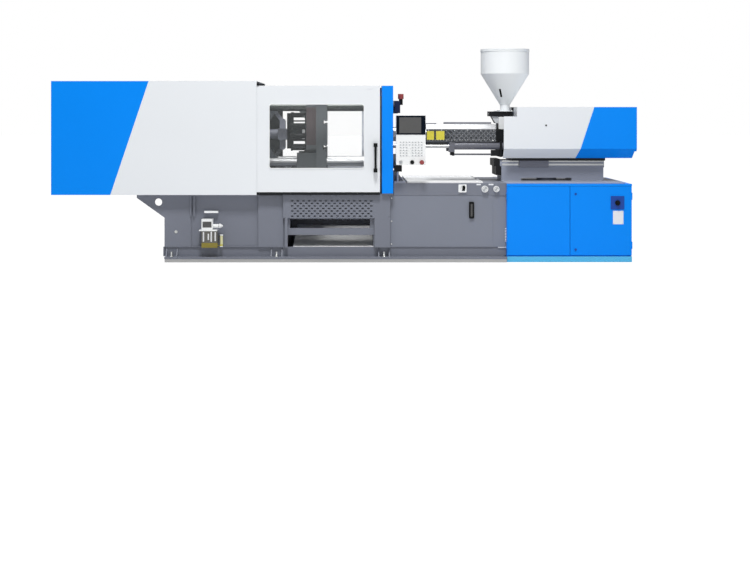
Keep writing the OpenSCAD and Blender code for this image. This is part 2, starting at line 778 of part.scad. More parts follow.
// Two dial gauges and a service socket
module tank_fittings() color([0.90, 0.91, 0.92]) {
    z = inj_deck_z - 53;
    for (g = [[bed_x1 - 197, 30], [bed_x1 - 93, 27]]) difference() {
        rod_y(g[0], z, -bed_half - 28, -bed_half, g[1]);
        rod_y(g[0], z, -bed_half - 29, -bed_half - 24, g[1] - 4);
    }
    x0 = bed_x1 - 436;
    z0 = inj_deck_z - 83;
    difference() {
        along_y(-bed_half - 16, -bed_half) round_rect(x0, x0 + 73, z0, z0 + 72, 5);
        rod_y(x0 + 36, z0 + 36, -bed_half - 17, -bed_half - 6, 21);
    }
}

// Limit valve beside the fixed guard, with its cap on top
module safety_valve() color([0.62, 0.16, 0.15]) {
    x = post_x1 + 78;
    y = platen_half + 60;
    rod_z(x, -y, gate_z1 - 118, gate_z1 - 72, 25);
    rod_z(x, -y, gate_z1 - 173, gate_z1 - 117, 16);
    block(x - 58, x - 7, -y - 45, -y + 45, gate_z1 - 247, gate_z1 - 136);
    block(post_x1, x - 57, -y - 20, -y + 20, gate_z1 - 220, gate_z1 - 190);
}

// Control panel
panel_x0 = post_x1 + 25;
panel_x1 = panel_x0 + panel_w;
panel_z0 = 882;
panel_z1 = panel_z0 + panel_h;
panel_y = gate_y + 40;
arm_x = panel_x0 + 19;
arm_y = panel_y - panel_d / 2;
bezel_x0 = panel_x0 + 1.5;
bezel_x1 = panel_x1 - 1.5;
bezel_z0 = panel_z1 - 172;
bezel_z1 = panel_z1 - 1.5;

module panel_arm() color([0.14, 0.15, 0.17]) {
    // Foot on the deck beam, stem, and the swivel pin under the panel
    block(arm_x - 30, arm_x + 66, -bed_half, -bed_half + 110, inj_deck_z, inj_deck_z + 16);
    translate([arm_x - 8, 0, 0]) rotate([90, 0, 90]) linear_extrude(16)
        polygon([[-bed_half, inj_deck_z + 15], [-bed_half + 110, inj_deck_z + 15],
            [-bed_half + 60, panel_z0 - 52], [-arm_y, panel_z0 - 52], [-bed_half - 20, panel_z0 - 88]]);
    block(arm_x - 31, arm_x + 33, -arm_y - 22, -bed_half + 60, panel_z0 - 60, panel_z0 - 6);
    rod_z(arm_x, -arm_y, panel_z0 - 7, panel_z0 + 11, 12);
}

module control_panel() color([0.92, 0.93, 0.94]) {
    difference() {
        block(panel_x0, panel_x1, -panel_y, -panel_y + panel_d, panel_z0, panel_z1);
        // Recess for the screen bezel
        block(bezel_x0, bezel_x1, -panel_y - 1, -panel_y + 14, bezel_z0, bezel_z1);
        rod_z(arm_x, -arm_y, panel_z0 - 1, panel_z0 + 12, 12 + pin_gap);
        for (c = [41, 144, 230]) rod_y(panel_x0 + c, panel_z0 + 24, -panel_y - 1, -panel_y + 30, 8 + pin_gap);
    }
    // Keypad, with its rows of flat keys
    for (row = [0:5], col = [0:7])
        block(panel_x0 + 30 + col * 27, panel_x0 + 50 + col * 27, -panel_y - 2, -panel_y + eps,
            panel_z0 + 76 + row * 24, panel_z0 + 92 + row * 24);
}

module control_screen() color([0.05, 0.06, 0.09]) {
    difference() {
        block(bezel_x0, bezel_x1, -panel_y - 3, -panel_y + 14, bezel_z0, bezel_z1);
        block(panel_x0 + 28, panel_x1 - 40, -panel_y - 4, -panel_y - 1, bezel_z0 + 13, panel_z1 - 16);
    }
}

module emergency_stop() color([0.75, 0.10, 0.08]) {
    x = panel_x0 + 230;
    z = panel_z0 + 24;
    rod_y(x, z, -panel_y - 34, -panel_y - 20, 20);
    rod_y(x, z, -panel_y - 22, -panel_y - 9, 13);
    rod_y(x, z, -panel_y - 10, -panel_y + 18, 8);
}

module selector_knob() color([0.10, 0.10, 0.11]) {
    x = panel_x0 + 144;
    z = panel_z0 + 24;
    rod_y(x, z, -panel_y - 14, -panel_y - slide_gap, 17);
    block(x - 4, x + 4, -panel_y - 22, -panel_y - 13, z - 16, z + 16);
    rod_y(x, z, -panel_y - 1, -panel_y + 29, 8);
}

module key_switch() color([0.45, 0.46, 0.48]) {
    x = panel_x0 + 41;
    z = panel_z0 + 24;
    rod_y(x, z, -panel_y - 8, -panel_y - slide_gap, 14);
    block(x - 2, x + 2, -panel_y - 30, -panel_y - 7, z - 11, z + 11);
    rod_y(x, z, -panel_y - 1, -panel_y + 29, 8);
}

// Injection unit
module injection_base() color([0.50, 0.52, 0.58]) {
    swivel_x = bed_x1 + 447;
    plate_z = inj_deck_z + 3;
    // Plate across the cabinet, swivel, cast body and the two guide beams
    block(bed_x1, bed_x1 + 1077, -bed_half, bed_half, cab_h, plate_z);
    rod_z(swivel_x, 0, plate_z - eps, body_z0 + eps, 94);
    difference() {
        block(beam_x0 + 13, beam_x1 - 6, -base_half, base_half, plate_z, beam_z0);
        block(beam_x0 + 30, beam_x1 - 26, -base_half + 60, base_half - 60, body_z0 + 15, beam_z0 + 1);
        // Open gap round the swivel
        block(swivel_x - 262, swivel_x + 209, -base_half - 1, base_half + 1, plate_z + eps, body_z0);
    }
    both_sides() block(beam_x0, beam_x1, -base_half, -base_half + 62, beam_z0 - eps, beam_z1);
    // Front plate
    block(beam_x0 - 56, beam_x0 + eps, -base_half, base_half, beam_z0 + 12, beam_z1 + 13);
    block(beam_x0 - 37, beam_x0 + 14, -base_half, base_half, inj_deck_z + 55, beam_z0 + 13);
}

// Carriage: base plate on the beams, saddles, front and tail housings, guide rods and the front frame
module injection_carriage() color([0.30, 0.31, 0.33]) {
    saddle_x0 = beam_x0 + 177;
    out = base_half + slide_gap;
    front_x0 = icover_x0 - 20;
    block_top = axis_z + 40;
    difference() {
        union() {
            block(house_x0 - 15, tail_x1, -icover_low, icover_low, carriage_z, carriage_top);
            block(house_x0, house_x1, -185, 185, carriage_top - 1, axis_z + 150);
            block(tail_x0, tail_x1, -185, 185, carriage_top - 1, axis_z + 150);
            both_sides() {
                rod_x(house_x1 - 5, tail_x0 + 5, -130, axis_z, 25);
                block(saddle_x0, saddle_x0 + 275, -out - 24, -out, beam_z0 + 2, carriage_z + 5);
                // Side wall of the front frame
                block(front_x0, house_x0 + 5, -110, -90, front_plate_z0, front_plate_z1);
            }
            // Plate that the carriage cylinders pass through
            block(front_x0, front_x0 + 18, -200, 200, front_plate_z0, front_plate_z1);
            // Clamp block of the barrel, and the shelf under the end of the barrel guard
            block(front_x0 - 27, front_x0 + 48, -112, 112, front_plate_z1 - 2, block_top);
            block(guard_x1 - 45, front_x0 + 1, -100, 100, guard_z0 - 12, guard_z0);
            // Bracket of the position rod
            block(front_x0 - 80, front_x0 + 1, -170, -130, front_plate_z0 + 9, front_plate_z0 + 65);
        }
        rod_x(front_x0 - 28, house_x1 + 1, 0, axis_z, barrel_r);
        rod_x(tail_x0 - 1, tail_x1 + 1, 0, axis_z, 96);
        for (y = [-150, 150]) rod_x(front_x0 - 1, front_x0 + 19, y, cylinder_z, 33);
    }
}

// Cross section of the injection unit cover, inset by the given amount
module icover_section(inset) {
    half = icover_half - inset;
    low = icover_low - inset;
    z0 = icover_z0 - (inset > 0 ? 1 : 0);
    z1 = icover_z - inset;
    polygon([[-low, z0], [low, z0], [half, icover_fold_z], [half, z1], [-half, z1], [-half, icover_fold_z]]);
}

module icover_shell() {
    notch_x1 = icover_x0 + 122;
    tuck_z = icover_z0 + 64;
    tuck_x0 = icover_x1 - 29;
    tuck_x1 = icover_x1 - 17;
    difference() {
        along_x(icover_x0, icover_x1) icover_section(0);
        along_x(icover_x0 - 1, icover_x1 - sheet) icover_section(sheet);
        block(icover_x0 - 1, notch_x1, -icover_half - 1, icover_half + 1, throat_z1, icover_z + 1);
        // Lower end tucks in
        along_y(-icover_half - 1, icover_half + 1) polygon([[tuck_x1, tuck_z], [icover_x1 + 1, tuck_z],
            [icover_x1 + 1, icover_z0 - 1], [tuck_x0, icover_z0 - 1]]);
    }
    // Lower end wall behind the tuck
    intersection() {
        along_x(icover_x0, icover_x1) icover_section(0);
        along_y(-icover_half, icover_half) polygon([[tuck_x1 - sheet, tuck_z + sheet],
            [icover_x1, tuck_z + sheet], [icover_x1, tuck_z], [tuck_x1, tuck_z], [tuck_x0, icover_z0],
            [tuck_x0 - sheet, icover_z0]]);
    }
}

// Side outline of the white piece of the injection cover
module iwhite_outline() {
    polygon([[icover_x0 - 2, icover_z0 - 2], [icover_x0 + 673, icover_z0 - 2],
        [icover_x0 + 709, icover_fold_z], [icover_x0 + 837, icover_z + 2], [icover_x0 - 2, icover_z + 2]]);
}

module injection_cover() color([0.91, 0.93, 0.94]) {
    intersection() {
        icover_shell();
        along_y(-icover_half - 1, icover_half + 1) iwhite_outline();
    }
}

module injection_end_cover() color([0.0, 0.52, 0.97]) {
    difference() {
        icover_shell();
        along_y(-icover_half - 1, icover_half + 1) iwhite_outline();
    }
}

// Plasticising cylinder with its end cap and nozzle
module barrel() color([0.62, 0.62, 0.62]) {
    difference() {
        union() {
            rod_x(nozzle_x0 + 140, barrel_x1, 0, axis_z, barrel_r);
            rod_x(nozzle_x0 + 100, nozzle_x0 + 200, 0, axis_z, barrel_r + 12);
            rod_x(nozzle_x0 + 30, nozzle_x0 + 101, 0, axis_z, 28);
            translate([nozzle_x0, 0, axis_z]) rotate([0, 90, 0]) cylinder(h = 31, r1 = 10, r2 = 28);
        }
        rod_x(nozzle_x0 + 110, house_x1 + 1, 0, axis_z, screw_r + slide_gap);
        rod_x(nozzle_x0 - 1, nozzle_x0 + 111, 0, axis_z, 3);
        rod_z(hopper_x, 0, axis_z, axis_z + barrel_r + 1, feed_r - 12);
    }
}

// Perforated guard round the barrel, with the duct under its front end
module barrel_guard() color([0.36, 0.38, 0.41]) {
    half = 148;
    pitch = 26;
    difference() {
        block(guard_x0, guard_x1, -half, half, guard_z0, guard_z1);
        block(guard_x0 - 1, guard_x1 + 1, -half + sheet, half - sheet, guard_z0 + sheet, guard_z1 + 1);
        for (row = [0:3], col = [0:23])
            rod_y(guard_x0 + 27 + col * pitch, guard_z0 + 18 + row * pitch, -half - 1, half + 1, 7);
    }
    duct_z0 = guard_z0 - 32;
    difference() {
        block(guard_x0 + 6, cylinder_x0 - 2, -128, 128, duct_z0, guard_z0 + eps);
        block(guard_x0 + 5, cylinder_x0 - 1, -128 + sheet, 128 - sheet, duct_z0 + sheet, guard_z0 - sheet);
    }
}

// Bright folded hood over the barrel guard, with a rail along its top
module guard_hood() color([0.78, 0.79, 0.80]) {
    half = 148;
    z0 = guard_z1;
    difference() {
        along_x(guard_x0, guard_x1) polygon([[-half, z0], [half, z0], [half, z0 + 8], [half - 40, z0 + 48],
            [-half + 40, z0 + 48], [-half, z0 + 8]]);
        along_x(guard_x0 - 1, guard_x1 + 1) polygon([[-half + sheet, z0 - 1], [half - sheet, z0 - 1],
            [half - sheet, z0 + 7], [half - 41, z0 + 45], [-half + 41, z0 + 45], [-half + sheet, z0 + 7]]);
    }
    block(guard_x0 + 168, guard_x1 - 40, -half + 60, -half + 100, z0 + 47, z0 + 68);
    block(guard_x0, guard_x0 + 96, -half + 60, -half + 84, z0 + 47, z0 + 58);
}

// Hydraulic cylinders that draw the carriage to the fixed platen, with the position rod below the front one
module carriage_cylinders() color([0.46, 0.48, 0.52]) {
    x0 = cylinder_x0;
    z = cylinder_z;
    both_sides() difference() {
        union() {
            rod_x(x0, house_x0, -150, z, 32);
            block(x0 - 2, x0 + 50, -186, -114, z - 54, z + 36);
        }
        rod_x(x0 - 3, house_x0 - 20, -150, z, 16 + slide_gap);
    }
    block(x0 + 28, x0 + 50, -165, -135, z - 90, z - 53);
    rod_x(x0 + 49, icover_x0 - 100, -150, z - 76, 8);
}

// Fixed rods of the carriage cylinders
module carriage_rods() color([0.80, 0.81, 0.82]) {
    both_sides() rod_x(fixed_x1, cylinder_x0 + carriage_travel + 60, -150, cylinder_z, 16);
}

// Feed throat with the black shut-off housing on top
module feed_throat() color([0.10, 0.11, 0.12]) {
    y = 70;
    slot_y = feed_r + 12;
    slot_z = throat_z1 + 19;
    difference() {
        union() {
            along_y(-y, y) polygon([[hopper_x - 70, axis_z + 48], [hopper_x + 48, axis_z + 48],
                [hopper_x + 48, throat_z1], [hopper_x - 133, throat_z1], [hopper_x - 96, axis_z + 104],
                [hopper_x - 70, axis_z + 101]]);
            block(hopper_x - 158, hopper_x + 58, -y - 15, y + 15, throat_z1 - eps, valve_z1);
        }
        rod_z(hopper_x, 0, axis_z, valve_z1 + 1, feed_r);
        rod_x(hopper_x - 200, hopper_x + 50, 0, axis_z, barrel_r);
        block(hopper_x - 159, hopper_x + 52, -slot_y, slot_y, slot_z, slot_z + gate_slot_h);
        // Notch in which the knob of the slide stands
        block(hopper_x - 159, hopper_x - 134, -12, 12, slot_z, valve_z1 + 1);
    }
    // Pale cooling block on the operator side
    block(hopper_x - 70, hopper_x - 16, -y - 34, -y + eps, axis_z + 49, throat_z1 - 6);
}

// Sliding shut-off plate with its pull knob
module hopper_slide() color([0.70, 0.71, 0.72]) {
    z0 = throat_z1 + 19 + slide_gap;
    z1 = z0 + gate_slot_h - 2 * slide_gap;
    y = feed_r + 12 - slide_gap;
    difference() {
        block(hopper_x - 156, hopper_x + 50, -y, y, z0, z1);
        rod_z(hopper_x, 0, z0 - 1, z1 + 1, feed_r);
    }
    rod_z(hopper_x - 146, 0, z1 - eps, z1 + 17, 8);
}

// Hopper: neck flange, cone and cylinder in one shell, with two hinge knuckles at the back of the rim
module hopper() color([0.93, 0.95, 0.95]) {
    t = 3;
    translate([hopper_x, 0, 0]) rotate_extrude($fn = 96) polygon([
        [feed_r, valve_z1], [105, valve_z1], [105, valve_z1 + 6], [feed_r + 5, valve_z1 + 6],
        [feed_r + 5, neck_z1], [hopper_r, cone_z1], [hopper_r, rim_z], [hopper_r - t, rim_z],
        [hopper_r - t, cone_z1 + 1], [feed_r, neck_z1 + 1]]);
    for (side = [-1, 1]) {
        x0 = hopper_x + side * (lid_knuckle + slide_gap) - (side < 0 ? 18 : 0);
        rod_x(x0, x0 + 18, lid_hinge_y, lid_hinge_z, 5);
        block(x0, x0 + 18, lid_hinge_y - 4, lid_hinge_y + 4, rim_z - 30, lid_hinge_z);
        block(x0, x0 + 18, hopper_r - 3.2, lid_hinge_y - 3, rim_z - 30, rim_z - 2);
    }
}

module hopper_lid() color([0.93, 0.95, 0.95]) {
    rod_z(hopper_x, 0, rim_z + slide_gap, hopper_z1, hopper_r + 2);
    rod_z(hopper_x, 0, hopper_z1 - eps, hopper_z1 + 6, 60);
    // Tongue and hinge knuckle
    x0 = hopper_x - lid_knuckle;
    x1 = hopper_x + lid_knuckle;
    block(x0, x1, hopper_r - 10, lid_hinge_y, rim_z + 1.3, rim_z + 10);
    rod_x(x0, x1, lid_hinge_y, lid_hinge_z, 5);
}

// Screw drive: thrust plate on the guide rods, with the motor behind it
module screw_drive() color([0.52, 0.54, 0.57]) {
    difference() {
        union() {
            block(drive_x0, drive_x1, -180, 180, axis_z - 110, axis_z + 110);
            rod_x(drive_x1 - 5, drive_x1 + motor_l, 0, axis_z, 88);
        }
        for (y = [-130, 130]) rod_x(drive_x0 - 1, drive_x1 + 1, y, axis_z, 25 + slide_gap);
        rod_x(drive_x0 - 1, drive_x1 - 10, 0, axis_z, screw_r + 6 + pin_gap);
    }
}

// Screw: tip, flighted length and drive shank
module screw() color([0.75, 0.75, 0.76]) {
    tip_x = nozzle_x0 + 112;
    rod_x(tip_x + 60, house_x0, 0, axis_z, screw_r - 5);
    translate([tip_x, 0, axis_z]) rotate([0, 90, 0]) cylinder(h = 61, r1 = 4, r2 = screw_r);
    rod_x(house_x0 - eps, house_x1, 0, axis_z, screw_r);
    rod_x(house_x1 - eps, drive_x1 - 12, 0, axis_z, screw_r + 6);
}

// Cabinet
hinge_zs = [plinth_h + 90, cab_h - 110];
hinge_r = 6;
door_knuckle = 15;

// The children moved to both heights of the door hinges
module at_hinges() {
    for (z = hinge_zs) translate([0, 0, z]) children();
}

// Fixed knuckles of one hinge, with the leaf on the side of the cabinet
module fixed_knuckles(axis_x, side) {
    leaf_x = axis_x + side * 4;
    for (z = [-door_knuckle - slide_gap - 16, door_knuckle + slide_gap]) {
        rod_z(axis_x, -cab_half, z, z + 16, hinge_r);
        block(leaf_x - 2, leaf_x + 2, -cab_half, -cab_half + 36, z, z + 16);
    }
}

module cabinet() color([0.0, 0.50, 0.95]) {
    wall = 4;
    front = cab_half - door_t - slide_gap;
    difference() {
        block(cab_x0, cab_x1, -front, cab_half, 0, cab_h);
        block(cab_x0 + 20, cab_x1 - 20, -front - 1, cab_half - wall, plinth_h + wall, cab_h - 24);
    }
    // Plinth front under the doors
    block(cab_x0, cab_x1, -cab_half + 4, -front + eps, 0, plinth_h - 10);
    // Top lip over the doors
    block(cab_x0, cab_x1, -cab_half, -front + eps, cab_h - 20, cab_h);
    at_hinges() {
        fixed_knuckles(cab_x0 + 2, -1);
        fixed_knuckles(cab_x1 - 2, 1);
    }
}

// Folded cabinet door between x0 and x1 that turns about the edge at axis_x
module door(x0, x1, axis_x) {
    z0 = plinth_h;
    z1 = cab_h - 22;
    difference() {
        block(x0, x1, -cab_half, -cab_half + door_t, z0, z1);
        block(x0 + sheet, x1 - sheet, -cab_half + sheet, -cab_half + door_t + 1, z0 + sheet, z1 - sheet);
        at_hinges() for (z = [-door_knuckle - 17, door_knuckle])
            rod_z(axis_x, -cab_half, z, z + 17, hinge_r + 0.5);
    }
    at_hinges() rod_z(axis_x, -cab_half, -door_knuckle, door_knuckle, hinge_r);
}

split_x = cab_x0 + 570;

module left_cabinet_door() color([0.0, 0.51, 0.95]) door(cab_x0 + 2, split_x - 2, cab_x0 + 2);

lock_x = split_x + 50;
lock_zs = [cab_h - 90, 114];
lock_r = 7;
switch_x = cab_x1 - 132;
switch_z = cab_h - 169;
spindle_r = 10;

module right_cabinet_door() color([0.0, 0.51, 0.95]) {
    difference() {
        door(split_x + 2, cab_x1 - 2, cab_x1 - 2);
        for (z = lock_zs) rod_y(lock_x, z, -cab_half - 1, -cab_half + door_t, lock_r + pin_gap);
        rod_y(switch_x, switch_z, -cab_half - 1, -cab_half + door_t, spindle_r + pin_gap);
    }
}

module lock_insert(z) {
    rod_y(lock_x, z, -cab_half - 6, -cab_half - slide_gap, lock_r + 3);
    rod_y(lock_x, z, -cab_half - 1, -cab_half + door_t - 6, lock_r);
    block(lock_x - 5, lock_x + 5, -cab_half + 9, -cab_half + door_t - 6, z - 5, z + 24);
}

module upper_door_lock() color([0.16, 0.17, 0.19]) lock_insert(lock_zs[0]);

module lower_door_lock() color([0.16, 0.17, 0.19]) lock_insert(lock_zs[1]);

module main_switch_plate() color([0.02, 0.10, 0.40]) {
    difference() {
        along_y(-cab_half - 6, -cab_half)
            round_rect(switch_x - 61, switch_x + 61, switch_z - 60, switch_z + 60, 4);
        rod_y(switch_x, switch_z, -cab_half - 7, -cab_half + 1, spindle_r + pin_gap);
    }
}

module main_switch_handle() color([0.03, 0.04, 0.08]) {
    rod_y(switch_x, switch_z, -cab_half - 18, -cab_half - 6 - slide_gap, 24);
    block(switch_x - 7, switch_x + 7, -cab_half - 34, -cab_half - 17, switch_z - 23, switch_z + 23);
    rod_y(switch_x, switch_z, -cab_half - 8, -cab_half + door_t - 8, spindle_r);
}

bed_frame();
oil_tank();
drip_tray();
vent_panel();
clamp_cover();
clamp_end_cover();
guard_posts();
gate_rails();
fixed_platen();
end_platen();
tie_bars();
tie_bar_nuts();
clamp_cylinder();
lubricator_pump();
lubricator_reservoir();
level_gauge();
tank_fittings();
safety_valve();
panel_arm();
injection_base();
carriage_rods();
cabinet();
left_cabinet_door();
right_cabinet_door();
main_switch_plate();
main_switch_handle();
upper_door_lock();
lower_door_lock();
front_gate();
front_gate_window();
front_gate_handle();
rear_gate();
rear_gate_window();
upper_rear_link();
lower_rear_link();
upper_front_link();
lower_front_link();
upper_drive_link();
lower_drive_link();
crosshead();
moving_platen();
ejector_plate();
control_panel();
control_screen();
emergency_stop();
selector_knob();
key_switch();
injection_carriage();
injection_cover();
injection_end_cover();
barrel();
barrel_guard();
guard_hood();
carriage_cylinders();
feed_throat();
hopper();
hopper_lid();
hopper_slide();
screw_drive();
screw();
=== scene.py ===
"""Dresses the injection moulding machine: finishes, fittings, studio light and camera.

Lengths are in metres in the frame of the machine: X runs from the clamp end to the injection
end, the operator stands at -Y and Z is up.
"""

from __future__ import annotations

import logging
import math
from dataclasses import dataclass, field
from enum import Enum
from functools import cached_property

import bmesh
import bpy
from mathutils import Matrix, Vector

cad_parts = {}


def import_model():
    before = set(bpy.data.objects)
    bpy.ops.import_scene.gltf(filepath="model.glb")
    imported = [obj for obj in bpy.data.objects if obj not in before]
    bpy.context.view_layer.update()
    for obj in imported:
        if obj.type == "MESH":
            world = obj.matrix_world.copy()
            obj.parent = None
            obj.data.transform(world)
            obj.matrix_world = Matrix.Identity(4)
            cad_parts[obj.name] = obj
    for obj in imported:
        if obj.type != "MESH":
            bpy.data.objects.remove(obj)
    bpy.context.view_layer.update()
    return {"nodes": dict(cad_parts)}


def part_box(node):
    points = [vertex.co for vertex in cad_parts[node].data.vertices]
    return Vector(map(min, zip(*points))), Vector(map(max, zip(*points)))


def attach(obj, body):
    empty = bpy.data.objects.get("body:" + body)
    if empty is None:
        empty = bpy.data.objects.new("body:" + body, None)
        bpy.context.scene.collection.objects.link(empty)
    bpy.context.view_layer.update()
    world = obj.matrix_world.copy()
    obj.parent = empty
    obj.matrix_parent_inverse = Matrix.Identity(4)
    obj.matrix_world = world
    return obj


LOG = logging.getLogger("moulding_machine")
Color = tuple[float, float, float]
Point = tuple[float, float, float]
Tree = bpy.types.NodeTree
Socket = bpy.types.NodeSocket
MM = 0.001
SHARP_ANGLE = math.radians(35)


class Axis(Enum):
    """Direction in which a round piece points, as the turn of its own Z axis."""

    X = Matrix.Rotation(math.pi / 2, 4, "Y").freeze()
    Y = Matrix.Rotation(-math.pi / 2, 4, "X").freeze()
    Z = Matrix.Identity(4).freeze()


# Shader nodes


def feed(tree: Tree, socket: Socket, value: object) -> None:
    """Feeds an input.

    Args:
        tree: The tree of the input.
        socket: The input.
        value: An output to link, or a number, a vector or a colour to set.
    """
    if isinstance(value, Socket):
        tree.links.new(value, socket)
    else:
        socket.default_value = (*value, 1.0) if socket.type == "RGBA" else value


def feed_all(tree: Tree, node: bpy.types.Node, values: dict[str | int, object]) -> None:
    """Feeds several inputs of a node, each given by its name or its number."""
    for key, value in values.items():
        feed(tree, node.inputs[key], value)


def math_node(tree: Tree, operation: str, a: object, b: object) -> Socket:
    """Adds a math node.

    Args:
        tree: The tree that gets the node.
        operation: The math operation.
        a: A socket or a number for the first input.
        b: A socket or a number for the second input.

    Returns:
        The node's output socket.
    """
    node = tree.nodes.new("ShaderNodeMath")
    node.operation = operation
    feed_all(tree, node, {0: a, 1: b})
    return node.outputs[0]


def added(tree: Tree, base: object, value: Socket, factor: object) -> Socket:
    """Returns the base plus the value times the factor."""
    return math_node(tree, "ADD", base, math_node(tree, "MULTIPLY", value, factor))


def noise_node(tree: Tree, vector: Socket, scale: object, detail: float) -> Socket:
    """Adds a noise texture.

    Args:
        tree: The tree that gets the node.
        vector: The coordinates.
        scale: A socket or a number for the noise scale.
        detail: The number of octaves.

    Returns:
        The noise value.
    """
    node = tree.nodes.new("ShaderNodeTexNoise")
    feed_all(tree, node, {"Vector": vector, "Scale": scale, "Detail": detail})
    return node.outputs["Fac"]


def mix_color(tree: Tree, factor: object, a: object, b: object, blend: str = "MIX") -> Socket:
    """Adds a colour mix.

    Args:
        tree: The tree that gets the node.
        factor: A socket or a number.
        a: A socket or a colour.
        b: A socket or a colour.
        blend: The blend type.

    Returns:
        The mixed colour.
    """
    node = tree.nodes.new("ShaderNodeMix")
    node.data_type = "RGBA"
    node.blend_type = blend
    feed_all(tree, node, {0: factor, 6: a, 7: b})
    return node.outputs[2]


def toned_color(tree: Tree, color: Socket, shade: Socket) -> Socket:
    """Multiplies a colour by a grey.

    Args:
        tree: The tree that gets the nodes.
        color: The colour.
        shade: The value of the grey.

    Returns:
        The product.
    """
    grey = tree.nodes.new("ShaderNodeCombineColor")
    for socket in grey.inputs[:3]:
        tree.links.new(shade, socket)
    return mix_color(tree, 1.0, color, grey.outputs[0], "MULTIPLY")


def bump_node(tree: Tree, height: Socket, strength: object, distance: float, normal: Socket) -> Socket:
    """Adds a bump node.

    Args:
        tree: The tree that gets the node.
        height: The height value.
        strength: A socket or a number for the strength.
        distance: The height in metres of a step from 0 to 1.
        normal: The normal to start from.

    Returns:
        The new normal.
    """
    node = tree.nodes.new("ShaderNodeBump")
    feed_all(tree, node, {"Distance": distance, "Strength": strength, "Height": height, "Normal": normal})
    return node.outputs[0]


def object_place(tree: Tree) -> Socket:
    """Returns the Object coordinates."""
    return tree.nodes.new("ShaderNodeTexCoord").outputs["Object"]


def group_node(tree: Tree, group: Tree) -> bpy.types.Node:
    """Places a node group in a tree.

    Args:
        tree: The tree that gets the node.
        group: The node group.

    Returns:
        The node that holds the group.
    """
    node = tree.nodes.new("ShaderNodeGroup")
    node.node_tree = group
    return node


